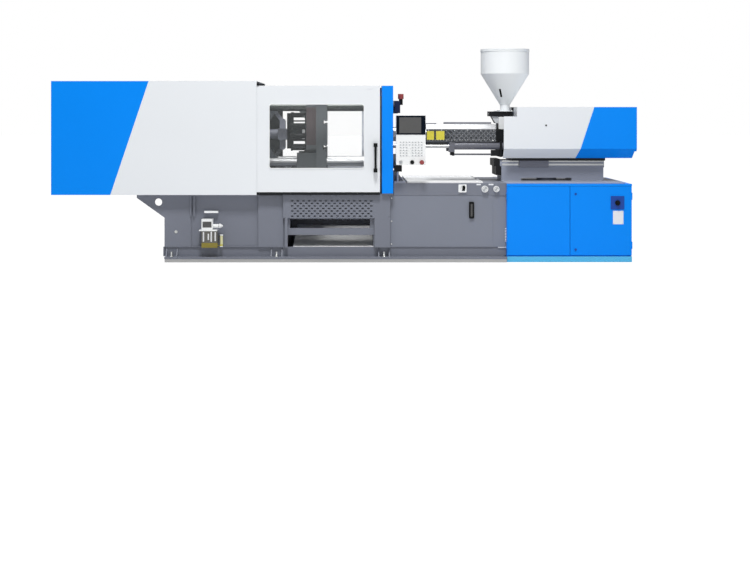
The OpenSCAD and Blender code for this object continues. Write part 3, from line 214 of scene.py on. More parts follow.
@dataclass
class SurfaceGroups:
    """Builds the node groups that more than one finish uses, each of them once."""

    edge_radius: float = 1.6 * MM
    edge_samples: int = 4
    edge_gain: float = 3.0
    cloud_scale: float = 2.3
    cloud_gloss: float = 0.16
    peel_height: float = 0.4 * MM
    line_scale: float = 160.0
    line_shade: tuple[float, float] = (0.93, 0.14)
    line_height: float = 0.2 * MM
    smear_scale: float = 7.0
    smear_gloss: float = 0.2

    @staticmethod
    def start(name: str, inputs: dict[str, object],
              outputs: tuple[str, ...] = ("Color", "Roughness", "Normal")) -> tuple[Tree, ...]:
        """Starts a node group.

        Args:
            name: The group's name.
            inputs: The default of each input, by the input's name.
            outputs: The names of the outputs.

        Returns:
            The group, the sockets of its inputs and the sockets of its outputs.
        """
        tree = bpy.data.node_groups.new(name, "ShaderNodeTree")
        kinds = {"Color": "NodeSocketColor", "Edge Color": "NodeSocketColor", "Normal": "NodeSocketVector",
                 "Stretch": "NodeSocketVector"}
        for title, value in inputs.items():
            kind = kinds.get(title, "NodeSocketFloat")
            tree.interface.new_socket(name=title, in_out="INPUT", socket_type=kind).default_value = value
        for title in outputs:
            kind = kinds.get(title, "NodeSocketFloat")
            tree.interface.new_socket(name=title, in_out="OUTPUT", socket_type=kind)
        return tree, tree.nodes.new("NodeGroupInput").outputs, tree.nodes.new("NodeGroupOutput").inputs

    @cached_property
    def edge_wear_and_highlight(self) -> Tree:
        """The group that finds outer edges and rounds their shading; its mask lightens the edges of the
        coats, partly as wear and partly as a painted highlight.

        Returns:
            A group with the outputs Mask and Normal.
        """
        tree, _, out = self.start("edge_wear_and_highlight", {}, ("Mask", "Normal"))
        bevel = tree.nodes.new("ShaderNodeBevel")
        bevel.samples = self.edge_samples
        bevel.inputs["Radius"].default_value = self.edge_radius
        dot = tree.nodes.new("ShaderNodeVectorMath")
        dot.operation = "DOT_PRODUCT"
        tree.links.new(bevel.outputs[0], dot.inputs[0])
        tree.links.new(tree.nodes.new("ShaderNodeNewGeometry").outputs["Normal"], dot.inputs[1])
        bent = math_node(tree, "SUBTRACT", 1.0, dot.outputs["Value"])
        mask = math_node(tree, "MULTIPLY", bent, self.edge_gain)
        mask.node.use_clamp = True
        tree.links.new(mask, out["Mask"])
        tree.links.new(bevel.outputs[0], out["Normal"])
        return tree

    @cached_property
    def coating(self) -> Tree:
        """The group of sprayed and baked coats: tone, dust, orange peel and lightened edges, which are partly
        wear and partly a painted highlight.

        Returns:
            A group with the outputs Color, Roughness and Normal.
        """
        tree, given, out = self.start("coating", {
            "Color": (0.5, 0.5, 0.5, 1.0), "Edge Color": (0.7, 0.7, 0.7, 1.0), "Roughness": 0.4, "Peel": 0.1,
            "Peel Scale": 400.0, "Tone": 0.05, "Edge": 0.2})
        place = object_place(tree)
        fine = noise_node(tree, place, given["Peel Scale"], 2.0)
        cloud = math_node(tree, "SUBTRACT", noise_node(tree, place, self.cloud_scale, 3.0), 0.5)
        shade = added(tree, 1.0, math_node(tree, "MULTIPLY", cloud, given["Tone"]), 2.0)
        toned = toned_color(tree, given["Color"], shade)
        edges = group_node(tree, self.edge_wear_and_highlight).outputs
        # Edges mixed toward the edge colour: partly wear, partly a painted edge highlight.
        worn_and_lit = math_node(tree, "MULTIPLY", edges["Mask"], given["Edge"])
        feed(tree, out["Color"], mix_color(tree, worn_and_lit, toned, given["Edge Color"]))
        feed(tree, out["Roughness"], added(tree, given["Roughness"], cloud, self.cloud_gloss))
        feed(tree, out["Normal"], bump_node(tree, fine, given["Peel"], self.peel_height, edges["Normal"]))
        return tree

    @cached_property
    def tool_marks(self) -> Tree:
        """The group of fine lines left by grinding, turning or brushing.

        Returns:
            A group with the outputs Color, Roughness and Normal.
        """
        tree, given, out = self.start("tool_marks", {
            "Color": (0.6, 0.6, 0.6, 1.0), "Roughness": 0.3, "Stretch": (1.0, 1.0, 1.0), "Depth": 0.1})
        place = object_place(tree)
        scaled = tree.nodes.new("ShaderNodeVectorMath")
        scaled.operation = "MULTIPLY"
        tree.links.new(place, scaled.inputs[0])
        tree.links.new(given["Stretch"], scaled.inputs[1])
        lines = noise_node(tree, scaled.outputs[0], self.line_scale, 2.0)
        cloud = math_node(tree, "SUBTRACT", noise_node(tree, place, self.smear_scale, 3.0), 0.5)
        least, span = self.line_shade
        edges = group_node(tree, self.edge_wear_and_highlight).outputs
        feed(tree, out["Color"], toned_color(tree, given["Color"], added(tree, least, lines, span)))
        feed(tree, out["Roughness"], added(tree, given["Roughness"], cloud, self.smear_gloss))
        feed(tree, out["Normal"], bump_node(tree, lines, given["Depth"], self.line_height, edges["Normal"]))
        return tree


GROUPS = SurfaceGroups()


def new_material(name: str) -> tuple[bpy.types.Material, Tree, bpy.types.ShaderNode]:
    """Makes a node material.

    Args:
        name: The material's name.

    Returns:
        The material, its tree and its Principled BSDF.
    """
    material = bpy.data.materials.new(name)
    material.use_nodes = True
    tree = material.node_tree
    return material, tree, tree.nodes["Principled BSDF"]


def surface_material(name: str, surface: Tree,
                     values: dict[str, object]) -> tuple[bpy.types.Material, bpy.types.ShaderNode]:
    """Makes a material whose colour, roughness and normal come from a surface group.

    Args:
        name: The material's name.
        surface: The node group.
        values: The values of the group's inputs, by name.

    Returns:
        The material and its Principled BSDF.
    """
    material, tree, shader = new_material(name)
    group = group_node(tree, surface)
    feed_all(tree, group, values)
    for title, target in (("Color", "Base Color"), ("Roughness", "Roughness"), ("Normal", "Normal")):
        tree.links.new(group.outputs[title], shader.inputs[target])
    return material, shader


@dataclass(frozen=True)
class Coat:
    """A sprayed, powdered or moulded coloured surface."""

    name: str
    color: Color
    roughness: float = 0.38
    peel: float = 0.10
    peel_scale: float = 420.0
    tone: float = 0.03
    # edge and edge_color set the lightened edges: partly wear, partly a painted highlight.
    edge: float = 0.18
    edge_color: Color = (0.75, 0.76, 0.78)
    clear_coat: float = 0.0
    coat_roughness: float = 0.12
    specular: float = 0.35

    def build(self) -> bpy.types.Material:
        """Builds the material.

        Returns:
            The material.
        """
        material, shader = surface_material(self.name, GROUPS.coating, {
            "Color": self.color, "Edge Color": self.edge_color, "Roughness": self.roughness,
            "Peel": self.peel, "Peel Scale": self.peel_scale, "Tone": self.tone, "Edge": self.edge})
        for title, value in (("Specular IOR Level", self.specular), ("Coat Weight", self.clear_coat),
                             ("Coat Roughness", self.coat_roughness)):
            shader.inputs[title].default_value = value
        return material


@dataclass(frozen=True)
class Metal:
    """A bare ground, turned or brushed metal surface."""

    name: str
    color: Color
    roughness: float = 0.3
    stretch: Point = (1.0, 1.0, 1.0)
    depth: float = 0.12

    def build(self) -> bpy.types.Material:
        """Builds the material.

        Returns:
            The material.
        """
        material, shader = surface_material(self.name, GROUPS.tool_marks, {
            "Color": self.color, "Roughness": self.roughness, "Stretch": self.stretch, "Depth": self.depth})
        shader.inputs["Metallic"].default_value = 1.0
        return material


@dataclass(frozen=True)
class ClearPane:
    """Clear see-through plastic."""

    name: str
    color: Color
    alpha: float
    roughness: float
    haze_scale: float = 14.0
    haze_span: float = 0.05

    def build(self) -> bpy.types.Material:
        """Builds the material.

        Returns:
            The material.
        """
        material, tree, shader = new_material(self.name)
        shader.inputs["Base Color"].default_value = (*self.color, 1.0)
        shader.inputs["Alpha"].default_value = self.alpha
        haze = noise_node(tree, object_place(tree), self.haze_scale, 4.0)
        tree.links.new(added(tree, self.roughness, haze, self.haze_span), shader.inputs["Roughness"])
        return material


@dataclass(frozen=True)
class OilTank:
    """Translucent plastic with oil behind it up to a level."""

    name: str
    level: float
    oil: Color
    empty: Color
    roughness: float = 0.22
    transmission: float = 0.15
    ripple_scale: float = 60.0
    ripple: float = 4 * MM

    def build(self) -> bpy.types.Material:
        """Builds the material.

        Returns:
            The material.
        """
        material, tree, shader = new_material(self.name)
        place = object_place(tree)
        split = tree.nodes.new("ShaderNodeSeparateXYZ")
        tree.links.new(place, split.inputs[0])
        waves = noise_node(tree, place, self.ripple_scale, 2.0)
        surface = added(tree, split.outputs["Z"], waves, self.ripple)
        above = math_node(tree, "GREATER_THAN", surface, self.level)
        tree.links.new(mix_color(tree, above, self.oil, self.empty), shader.inputs["Base Color"])
        shader.inputs["Roughness"].default_value = self.roughness
        shader.inputs["Transmission Weight"].default_value = self.transmission
        return material


@dataclass(frozen=True)
class Display:
    """Dull grey display glass, switched off."""

    name: str
    color: Color = (0.092, 0.092, 0.092)
    gain: float = 1.15
    cloud_scale: float = 9.0
    roughness: float = 0.28
    specular: float = 0.1

    def build(self) -> bpy.types.Material:
        """Builds the material.

        Returns:
            The material.
        """
        material, tree, shader = new_material(self.name)
        cloud = noise_node(tree, object_place(tree), self.cloud_scale, 3.0)
        bright = tuple(channel * self.gain for channel in self.color)
        tree.links.new(mix_color(tree, cloud, self.color, bright), shader.inputs["Base Color"])
        shader.inputs["Roughness"].default_value = self.roughness
        shader.inputs["Specular IOR Level"].default_value = self.specular
        return material


class Finish(Enum):
    """The finishes of the machine."""

    # Lighter edge colours, such as those of BLUE, RED and NAVY, are partly a painted edge highlight and
    # partly wear.
    WHITE = Coat("white_powder_coat", (0.800, 0.828, 0.858), tone=0.012)
    BLUE = Coat("blue_powder_coat", (0.001, 0.255, 0.930), 0.34, tone=0.02, edge=0.10,
                edge_color=(0.1, 0.35, 0.95), specular=0.10)
    PLINTH = Coat("pale_blue_plinth", (0.09, 0.50, 0.82), 0.42, edge=0.1)
    GREY = Coat("grey_enamel", (0.180, 0.193, 0.235), 0.46, peel=0.22, peel_scale=260.0, tone=0.05, edge=0.3,
                edge_color=(0.42, 0.43, 0.46))
    TANK = Coat("tank_enamel", (0.205, 0.222, 0.270), 0.44, peel=0.18, peel_scale=260.0, tone=0.04, edge=0.3,
                edge_color=(0.45, 0.46, 0.50))
    DARK = Coat("dark_enamel", (0.011, 0.012, 0.014), 0.42, peel=0.2, tone=0.06, edge=0.2,
                edge_color=(0.10, 0.10, 0.11), specular=0.15)
    CASTING = Coat("painted_casting", (0.105, 0.118, 0.125), 0.55, peel=0.9, peel_scale=120.0, tone=0.10,
                   edge=0.4, edge_color=(0.32, 0.33, 0.34))
    LINK = Coat("dark_casting", (0.060, 0.068, 0.078), 0.52, peel=0.8, peel_scale=140.0, tone=0.10,
                edge=0.4, edge_color=(0.3, 0.31, 0.32))
    TRAY = Coat("pale_tray", (0.86, 0.865, 0.87), 0.40, tone=0.05, edge=0.3)
    MESH = Coat("perforated_sheet", (0.062, 0.067, 0.076), 0.48, tone=0.08, edge=0.4,
                edge_color=(0.2, 0.21, 0.23))
    BLACK = Coat("black_moulding", (0.006, 0.007, 0.008), 0.36, peel=0.2, peel_scale=700.0, edge=0.08,
                 edge_color=(0.05, 0.05, 0.05), specular=0.12)
    BEZEL = Coat("blue_black_moulding", (0.002, 0.005, 0.012), 0.34, peel=0.2, peel_scale=700.0, edge=0.08,
                 edge_color=(0.03, 0.04, 0.06), specular=0.05)
    MOULDING = Coat("white_moulding", (0.87, 0.885, 0.89), 0.42, peel=0.25, peel_scale=800.0, tone=0.015,
                    edge=0.1)
    KEY = Coat("grey_key", (0.46, 0.48, 0.50), 0.5, peel=0.2, peel_scale=900.0, edge=0.1)
    NAVY = Coat("navy_moulding", (0.002, 0.055, 0.34), 0.42, peel=0.3, peel_scale=700.0, edge=0.1,
                edge_color=(0.02, 0.05, 0.3))
    STRIP = Coat("pale_strip", (0.44, 0.44, 0.44), 0.5, tone=0.05, edge=0.3)
    CHAMFER = Coat("funnel_sheet", (0.60, 0.62, 0.64), 0.42, tone=0.03, edge=0.2)
    DEEP = Coat("deep_blue_enamel", (0.006, 0.014, 0.050), 0.42, peel=0.3, edge=0.1,
                edge_color=(0.03, 0.05, 0.12), specular=0.2)
    RED = Coat("red_moulding", (0.29, 0.050, 0.05), 0.32, peel=0.15, peel_scale=700.0, edge=0.1,
               edge_color=(0.7, 0.2, 0.18))
    YELLOW = Coat("yellow_plate", (0.70, 0.62, 0.06), 0.4, tone=0.03, edge=0.1)
    PLATE = Coat("white_plate", (0.78, 0.80, 0.84), 0.35, tone=0.02, edge=0.1)
    DIAL = Coat("dial_face", (0.70, 0.71, 0.72), 0.5, peel=0.0, edge=0.0)
    HOPPER = Coat("hopper_moulding", (0.90, 0.93, 0.945), 0.36, peel=0.12, peel_scale=300.0, tone=0.02,
                  edge=0.15)
    # Lighter copy of the bed's grey enamel for the injection base and the panel arm: painted light,
    # brightening parts that lie in shade.
    BASE = Coat("lit_base_enamel", (0.32, 0.345, 0.42), 0.44, peel=0.18, peel_scale=260.0, tone=0.04, edge=0.2,
                edge_color=(0.5, 0.51, 0.55))
    SADDLE = Coat("saddle_enamel", (0.22, 0.23, 0.28), 0.44, peel=0.18, tone=0.04)
    CYLINDER = Coat("cylinder_enamel", (0.11, 0.114, 0.138), 0.28, peel=0.1, tone=0.04, clear_coat=0.3)
    WIRE = Coat("zinc_wire", (0.24, 0.25, 0.27), 0.45, tone=0.04)
    BROWN = Coat("manifold_enamel", (0.075, 0.055, 0.058), 0.5, peel=0.3, tone=0.08)
    # Darker steel for the upper tie bars: painted shade.
    SHADED_STEEL = Metal("shaded_steel", (0.075, 0.083, 0.078), 0.42, (0.15, 6.0, 6.0), 0.05)
    GROUND = Metal("ground_steel", (0.44, 0.45, 0.455), 0.34, (0.15, 6.0, 6.0), 0.05)
    TURNED = Metal("turned_steel", (0.52, 0.53, 0.54), 0.33, (5.0, 0.6, 0.6), 0.15)
    BRUSHED = Metal("brushed_sheet", (0.40, 0.405, 0.415), 0.48, (0.12, 8.0, 8.0), 0.08)
    ZINC = Metal("zinc_plate", (0.66, 0.67, 0.66), 0.34, (2.0, 2.0, 2.0), 0.1)
    WINDOW = ClearPane("gate_pane", (0.88, 0.94, 0.95), 0.03, 0.05)
    SCREEN = Display("display_glass")
    OIL = OilTank("oil_reservoir", 0.181, (0.26, 0.21, 0.02), (0.13, 0.125, 0.11))
    SIGHT = OilTank("sight_tube", 0.165, (0.66, 0.60, 0.10), (0.80, 0.78, 0.45))


class Palette:
    """Builds each finish once, when a piece first asks for it."""

    def __init__(self) -> None:
        """Starts with no material built."""
        self.built: dict[Finish, bpy.types.Material] = {}

    def get(self, finish: Finish) -> bpy.types.Material:
        """Gives the material of a finish, built if it isn't yet.

        Args:
            finish: The finish.

        Returns:
            Its material.
        """
        if finish not in self.built:
            self.built[finish] = finish.value.build()
        return self.built[finish]


PALETTE = Palette()

FINISHED_NODES: dict[Finish, str] = {
    Finish.GREY: "bed_frame vent_panel",
    Finish.TANK: "oil_tank screw_drive",
    Finish.TRAY: "drip_tray",
    Finish.WHITE: "clamp_cover front_gate rear_gate injection_cover",
    Finish.BLUE: "clamp_end_cover guard_posts cabinet left_cabinet_door right_cabinet_door "
                 "injection_end_cover",
    Finish.DARK: "gate_rails clamp_cylinder injection_carriage feed_throat",
    Finish.CASTING: "fixed_platen end_platen upper_front_link lower_front_link moving_platen",
    Finish.GROUND: "tie_bars carriage_rods screw",
    Finish.LINK: "tie_bar_nuts upper_rear_link lower_rear_link lower_drive_link",
    Finish.MOULDING: "lubricator_pump tank_fittings control_panel",
    Finish.OIL: "lubricator_reservoir",
    Finish.BLACK: "level_gauge main_switch_handle front_gate_handle selector_knob",
    Finish.DEEP: "safety_valve",
    Finish.BASE: "panel_arm injection_base",
    Finish.NAVY: "main_switch_plate upper_door_lock lower_door_lock",
    Finish.WINDOW: "front_gate_window rear_gate_window",
    Finish.SADDLE: "upper_drive_link crosshead",
    Finish.TURNED: "ejector_plate barrel",
    Finish.BEZEL: "control_screen",
    Finish.RED: "emergency_stop",
    Finish.KEY: "key_switch",
    Finish.MESH: "barrel_guard",
    Finish.BRUSHED: "guard_hood",
    Finish.CYLINDER: "carriage_cylinders",
    Finish.HOPPER: "hopper hopper_lid",
    Finish.ZINC: "hopper_slide",
}
NODE_FINISHES = {name: finish for finish, names in FINISHED_NODES.items() for name in names.split()}


# Mesh building


@dataclass
class MeshPiece:
    """Collects solid shapes into one piece of the machine."""

    name: str
    body: str
    finish: Finish
    slot: str
    mesh: bmesh.types.BMesh = field(default_factory=bmesh.new)

    def block(self, low: Point, high: Point) -> MeshPiece:
        """Adds a box between two corners.

        Args:
            low: The corner with the least X, Y and Z.
            high: The corner with the most X, Y and Z.

        Returns:
            The piece.
        """
        size = Vector(high) - Vector(low)
        centre = (Vector(high) + Vector(low)) / 2
        matrix = Matrix.Translation(centre) @ Matrix.Diagonal((*size, 1.0))
        bmesh.ops.create_cube(self.mesh, size=1.0, matrix=matrix)
        return self

    def disc(self, centre: Point, radius: float, length: float, axis: Axis = Axis.Y, sides: int = 32,
             top_radius: float | None = None) -> MeshPiece:
        """Adds a cylinder or a cone frustum.

        Args:
            centre: The middle of the shape.
            radius: The radius at the start, on the lower side of the axis.
            length: The length along the axis.
            axis: The axis it lies along.
            sides: The number of sides.
            top_radius: The radius at the end, or None for a cylinder.

        Returns:
            The piece.
        """
        bmesh.ops.create_cone(self.mesh, cap_ends=True, cap_tris=False, segments=sides, radius1=radius,
                              radius2=radius if top_radius is None else top_radius, depth=length,
                              matrix=Matrix.Translation(centre) @ axis.value)
        return self

    def ring(self, centre: Point, radius: float, width: float, height: float, axis: Axis = Axis.Y,
             sides: int = 40) -> MeshPiece:
        """Adds a flat ring with a rectangular section.

        Args:
            centre: The middle of the ring.
            radius: The mean radius.
            width: The width of the section, across the axis.
            height: The height of the section, along the axis.
            axis: The axis of the ring.
            sides: The number of segments.

        Returns:
            The piece.
        """
        matrix = Matrix.Translation(centre) @ axis.value
        w, h = width / 2, height / 2
        loops = []
        for index in range(sides):
            angle = 2 * math.pi * index / sides
            loops.append([matrix @ Vector(((radius + r) * math.cos(angle), (radius + r) * math.sin(angle), z))
                          for r, z in ((-w, -h), (w, -h), (w, h), (-w, h))])
        return self.skin(loops, closed=True)

    def prism(self, outline: list[tuple[float, float]], low: float, high: float) -> MeshPiece:
        """Extrudes an outline of points in X and Z from low to high along Y and returns the piece."""
        return self.skin([[(x, y, z) for x, z in outline] for y in (low, high)])

    def skin(self, loops: list[list[Point]], closed: bool = False) -> MeshPiece:
        """Adds the faces between loops of as many points each.

        Args:
            loops: The loops, in order.
            closed: True to join the last loop to the first, False to cap both ends.

        Returns:
            The piece.
        """
        rows = [[self.mesh.verts.new(point) for point in loop] for loop in loops]
        pairs = list(zip(rows, rows[1:])) + ([(rows[-1], rows[0])] if closed else [])
        for here, after in pairs:
            for index in range(len(here)):
                turn = (index + 1) % len(here)
                self.mesh.faces.new((here[index], after[index], after[turn], here[turn]))
        if not closed:
            self.mesh.faces.new(rows[0])
            self.mesh.faces.new(list(reversed(rows[-1])))
        return self

    def finish_piece(self, bevel: float = 0.0, smooth: bool = False) -> None:
        """Turns the shapes into an object that rides on its body.

        Args:
            bevel: The radius of rounded edges, or 0 for none.
            smooth: True to shade the faces smooth by angle.
        """
        bmesh.ops.recalc_face_normals(self.mesh, faces=self.mesh.faces[:])
        data = bpy.data.meshes.new(self.name)
        self.mesh.to_mesh(data)
        self.mesh.free()
        piece = bpy.data.objects.new(self.name, data)
        bpy.context.scene.collection.objects.link(piece)
        data.materials.append(PALETTE.get(self.finish))
        if bevel > 0:
            modifier = piece.modifiers.new("rounded_edges", "BEVEL")
            modifier.width = bevel
            modifier.segments = 2
            modifier.limit_method = "ANGLE"
            bake_modifiers(piece)
        if smooth:
            shade_by_angle(piece.data)
        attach(piece, self.body)
        LOG.info("piece %s on %s", self.name, self.body)


def boxes(name: str, body: str, finish: Finish, slot: str, bevel: float,
          *corners: tuple[Point, Point]) -> None:
    """Builds one piece from boxes.

    Args:
        name: The piece's name.
        body: The body it rides on.
        finish: The finish.
        slot: A material slot name; not used.
        bevel: The radius of rounded edges, or 0 for none.
        corners: The low and the high corner of each box.
    """
    piece = MeshPiece(name, body, finish, slot)
    for low, high in corners:
        piece.block(low, high)
    piece.finish_piece(bevel)


def shade_by_angle(data: bpy.types.Mesh) -> None:
    """Shades a mesh smooth, apart from the sharp edges."""
    data.set_sharp_from_angle(angle=SHARP_ANGLE)


def bake_modifiers(piece: bpy.types.Object) -> None:
    """Replaces a piece's mesh by its evaluated mesh and clears its modifiers.

    Args:
        piece: The piece.
    """
    graph = bpy.context.evaluated_depsgraph_get()
    baked = bpy.data.meshes.new_from_object(piece.evaluated_get(graph))
    piece.modifiers.clear()
    piece.data = baked


# Geometry Nodes


def input_identifier(tree: Tree, name: str) -> str:
    """Finds the identifier of an input of a tree.

    Args:
        tree: The tree.
        name: The input's name.

    Returns:
        The identifier.
    """
    for item in tree.interface.items_tree:
        if item.item_type == "SOCKET" and item.in_out == "INPUT" and item.name == name:
            return item.identifier
    raise KeyError(name)


@dataclass
class FastenerTree:
    """Geometry Nodes tree that sets a screw or bolt head on every point of a mesh."""

    washer_sides: int = 20
    washer_shape: Point = (1.35, 1.25, 0.3)
    head_shape: Point = (1.0, 0.84, 1.0)
    trees: dict[int, Tree] = field(default_factory=dict)

    def build(self, sides: int) -> Tree:
        """Builds the tree for heads with that many sides.

        Args:
            sides: 6 for a hexagon bolt, more for a round head.

        Returns:
            The tree, with the inputs Radius, Height, Turn and Finish.
        """
        if sides in self.trees:
            return self.trees[sides]
        tree = bpy.data.node_groups.new(f"fasteners_{sides}", "GeometryNodeTree")
        kinds = {"Geometry": "Geometry", "Radius": "Float", "Height": "Float", "Turn": "Vector",
                 "Finish": "Material"}
        for title, kind in kinds.items():
            tree.interface.new_socket(name=title, in_out="INPUT", socket_type=f"NodeSocket{kind}")
        tree.interface.new_socket(name="Geometry", in_out="OUTPUT", socket_type="NodeSocketGeometry")
        nodes, links = tree.nodes, tree.links
        given = nodes.new("NodeGroupInput").outputs
        join = nodes.new("GeometryNodeJoinGeometry")
        for corners, shape in ((sides, self.head_shape), (self.washer_sides, self.washer_shape)):
            cone = nodes.new("GeometryNodeMeshCone")
            cone.inputs["Vertices"].default_value = corners
            sizes = (("Radius Bottom", "Radius"), ("Radius Top", "Radius"), ("Depth", "Height"))
            for (title, size), factor in zip(sizes, shape):
                links.new(math_node(tree, "MULTIPLY", given[size], factor), cone.inputs[title])
            links.new(cone.outputs["Mesh"], join.inputs[0])
        turn = nodes.new("FunctionNodeEulerToRotation")
        links.new(given["Turn"], turn.inputs[0])
        setter = nodes.new("GeometryNodeInstanceOnPoints")
        feed_all(tree, setter, {"Points": given["Geometry"], "Instance": join.outputs[0],
                                "Rotation": turn.outputs[0]})
        real = nodes.new("GeometryNodeRealizeInstances")
        links.new(setter.outputs[0], real.inputs[0])
        paint = nodes.new("GeometryNodeSetMaterial")
        feed_all(tree, paint, {"Geometry": real.outputs[0], "Material": given["Finish"]})
        links.new(paint.outputs[0], nodes.new("NodeGroupOutput").inputs[0])
        self.trees[sides] = tree
        return tree


FASTENERS = FastenerTree()


class Facing(Enum):
    """Where a fastener's head points, as the turn of its own +Z axis."""

    OPERATOR = (math.pi / 2, 0.0, 0.0)
    REAR = (-math.pi / 2, 0.0, 0.0)
    UP = (0.0, 0.0, 0.0)
    INJECTION_END = (0.0, math.pi / 2, 0.0)


class Head(Enum):
    """The form of a fastener's head, as the number of its sides."""

    HEXAGON = 6
    RIVET = 12
    ROUND = 16


def fasteners(name: str, body: str, points: list[Point], radius: float, height: float, facing: Facing,
              finish: Finish = Finish.ZINC, head: Head = Head.HEXAGON) -> None:
    """Sets one fastener on each point, with its seat there.

    Args:
        name: The piece's name.
        body: The body it rides on.
        points: The seats, in metres.
        radius: The radius of the head.
        height: The height of the head.
        facing: Where the heads point.
        finish: The finish.
        head: The form of the heads.
    """
    data = bpy.data.meshes.new(name)
    data.from_pydata(points, [], [])
    piece = bpy.data.objects.new(name, data)
    bpy.context.scene.collection.objects.link(piece)
    tree = FASTENERS.build(head.value)
    modifier = piece.modifiers.new("fasteners", "NODES")
    modifier.node_group = tree
    values = {"Radius": radius, "Height": height, "Turn": facing.value, "Finish": PALETTE.get(finish)}
    for title, value in values.items():
        modifier[input_identifier(tree, title)] = value
    piece.update_tag()
    bake_modifiers(piece)
    shade_by_angle(piece.data)
    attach(piece, body)
    LOG.info("piece %s: %d fasteners on %s", name, len(points), body)


def line(start: Point, end: Point, count: int) -> list[Point]:
    """Returns count points spread evenly from start to end."""
    a, b = Vector(start), Vector(end)
    return [tuple(a.lerp(b, index / (count - 1))) for index in range(count)]


def both_sides(low: Point, high: Point) -> list[tuple[Point, Point]]:
    """Returns the corners of a box at the rear, after those of its mirror image on the operator side."""
    return [((low[0], -high[1], low[2]), (high[0], -low[1], high[2])), (low, high)]


# Sub-assemblies


@dataclass
class Stations:
    """Places that several sub-assemblies share, taken from the construction."""

    face: float = 0.0
    bed_x0: float = 0.0
    bed_x1: float = 0.0
    wall_y: float = -0.560
    bed_reach: float = 1.928

    def read(self) -> None:
        """Reads the places from the nodes' boxes."""
        self.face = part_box("fixed_platen")[0][0]
        self.bed_x0 = self.face - self.bed_reach
        self.bed_x1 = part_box("oil_tank")[1][0]


PLACE = Stations()


@dataclass
class BedDress:
    """Fasteners, plates and the pale floor strip of the bed and the tank."""

    bolt_r: float = 11 * MM
    bolt_at: tuple[float, float] = (-1.823, 0.271)
    screw_r: float = 5 * MM
    flange_z: float = 49 * MM
    foot_xs: tuple[float, ...] = (-1.860, -0.910, 0.062)
    foot_y: float = 0.590
    door_screw_x: float = 0.131
    door_screw_zs: tuple[float, ...] = (0.158, 0.366, 0.575)
    strip_y: tuple[float, float] = (0.6165, 0.6185)
    slats: int = 9
    slat_z: float = 0.184
    slat_pitch: float = 14 * MM

    def build(self) -> None:
        """Builds the pieces."""
        self.foot_bolts()
        wall = PLACE.wall_y
        seat = (PLACE.face + self.bolt_at[0], wall, self.bolt_at[1])
        fasteners("side_bolt", "bed", [seat], self.bolt_r, 8 * MM, Facing.OPERATOR)
        for name, y, facing in (("tank_screws", wall + 4 * MM, Facing.OPERATOR),
                                ("tank_screws_rear", -wall - 4 * MM, Facing.REAR)):
            screws = [(PLACE.face + self.door_screw_x, y, z) for z in self.door_screw_zs]
            fasteners(name, "bed", screws, self.screw_r, 3 * MM, facing, Finish.ZINC, Head.ROUND)
        low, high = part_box("vent_panel")
        x0, x1, y = low[0] + 0.015, high[0] - 0.015, low[1]
        rim = [seat for z in (low[2] + 0.012, high[2] - 0.012) for seat in line((x0, y, z), (x1, y, z), 5)]
        fasteners("vent_screws", "bed", rim, self.screw_r, 3 * MM, Facing.OPERATOR, Finish.GREY,
                  Head.ROUND)
        self.plates()

    def foot_bolts(self) -> None:
        """Adds a stud, a nut and a washer on each foot."""
        seats = [(PLACE.face + x, y, self.flange_z)
                 for x in self.foot_xs for y in (-self.foot_y, self.foot_y)]
        fasteners("foot_nuts", "bed", seats, 14 * MM, 20 * MM, Facing.UP)
        studs = MeshPiece("foot_studs", "bed", Finish.ZINC, "bright_steel")
        for x, y, z in seats:
            studs.disc((x, y, z + 23 * MM), 9 * MM, 44 * MM, Axis.Z, 20)
        studs.finish_piece(1 * MM, smooth=True)

    def plates(self) -> None:
        """Adds the skin of the floor strip, the plates over the gauges and the vent by the cabinet."""
        wall, end = PLACE.wall_y, PLACE.bed_x1
        y0, y1 = self.strip_y
        boxes("floor_strip", "bed", Finish.STRIP, "tray_sheet", 0.4 * MM,
              *both_sides((PLACE.bed_x0 + 10 * MM, y0, 1 * MM), (end - 4 * MM, y1, 29.5 * MM)))
        boxes("tank_plates", "bed", Finish.PLATE, "white_plastic", 0.4 * MM,
              ((end - 0.272, wall - 1.5 * MM, 0.693), (end - 0.232, wall, 0.706)),
              ((end - 0.162, wall - 1.5 * MM, 0.693), (end - 0.117, wall, 0.706)),
              ((end - 0.077, wall + 2 * MM, 0.127), (end - 0.003, wall + 5 * MM, 0.1335)))
        feet = [self.slat_z + index * self.slat_pitch for index in range(self.slats)]
        boxes("tank_vent", "bed", Finish.TRAY, "tray_sheet", 0.8 * MM,
              *(((end - 0.013, wall - 9 * MM, z), (end - 0.0015, wall + 8 * MM, z + 7 * MM)) for z in feet))


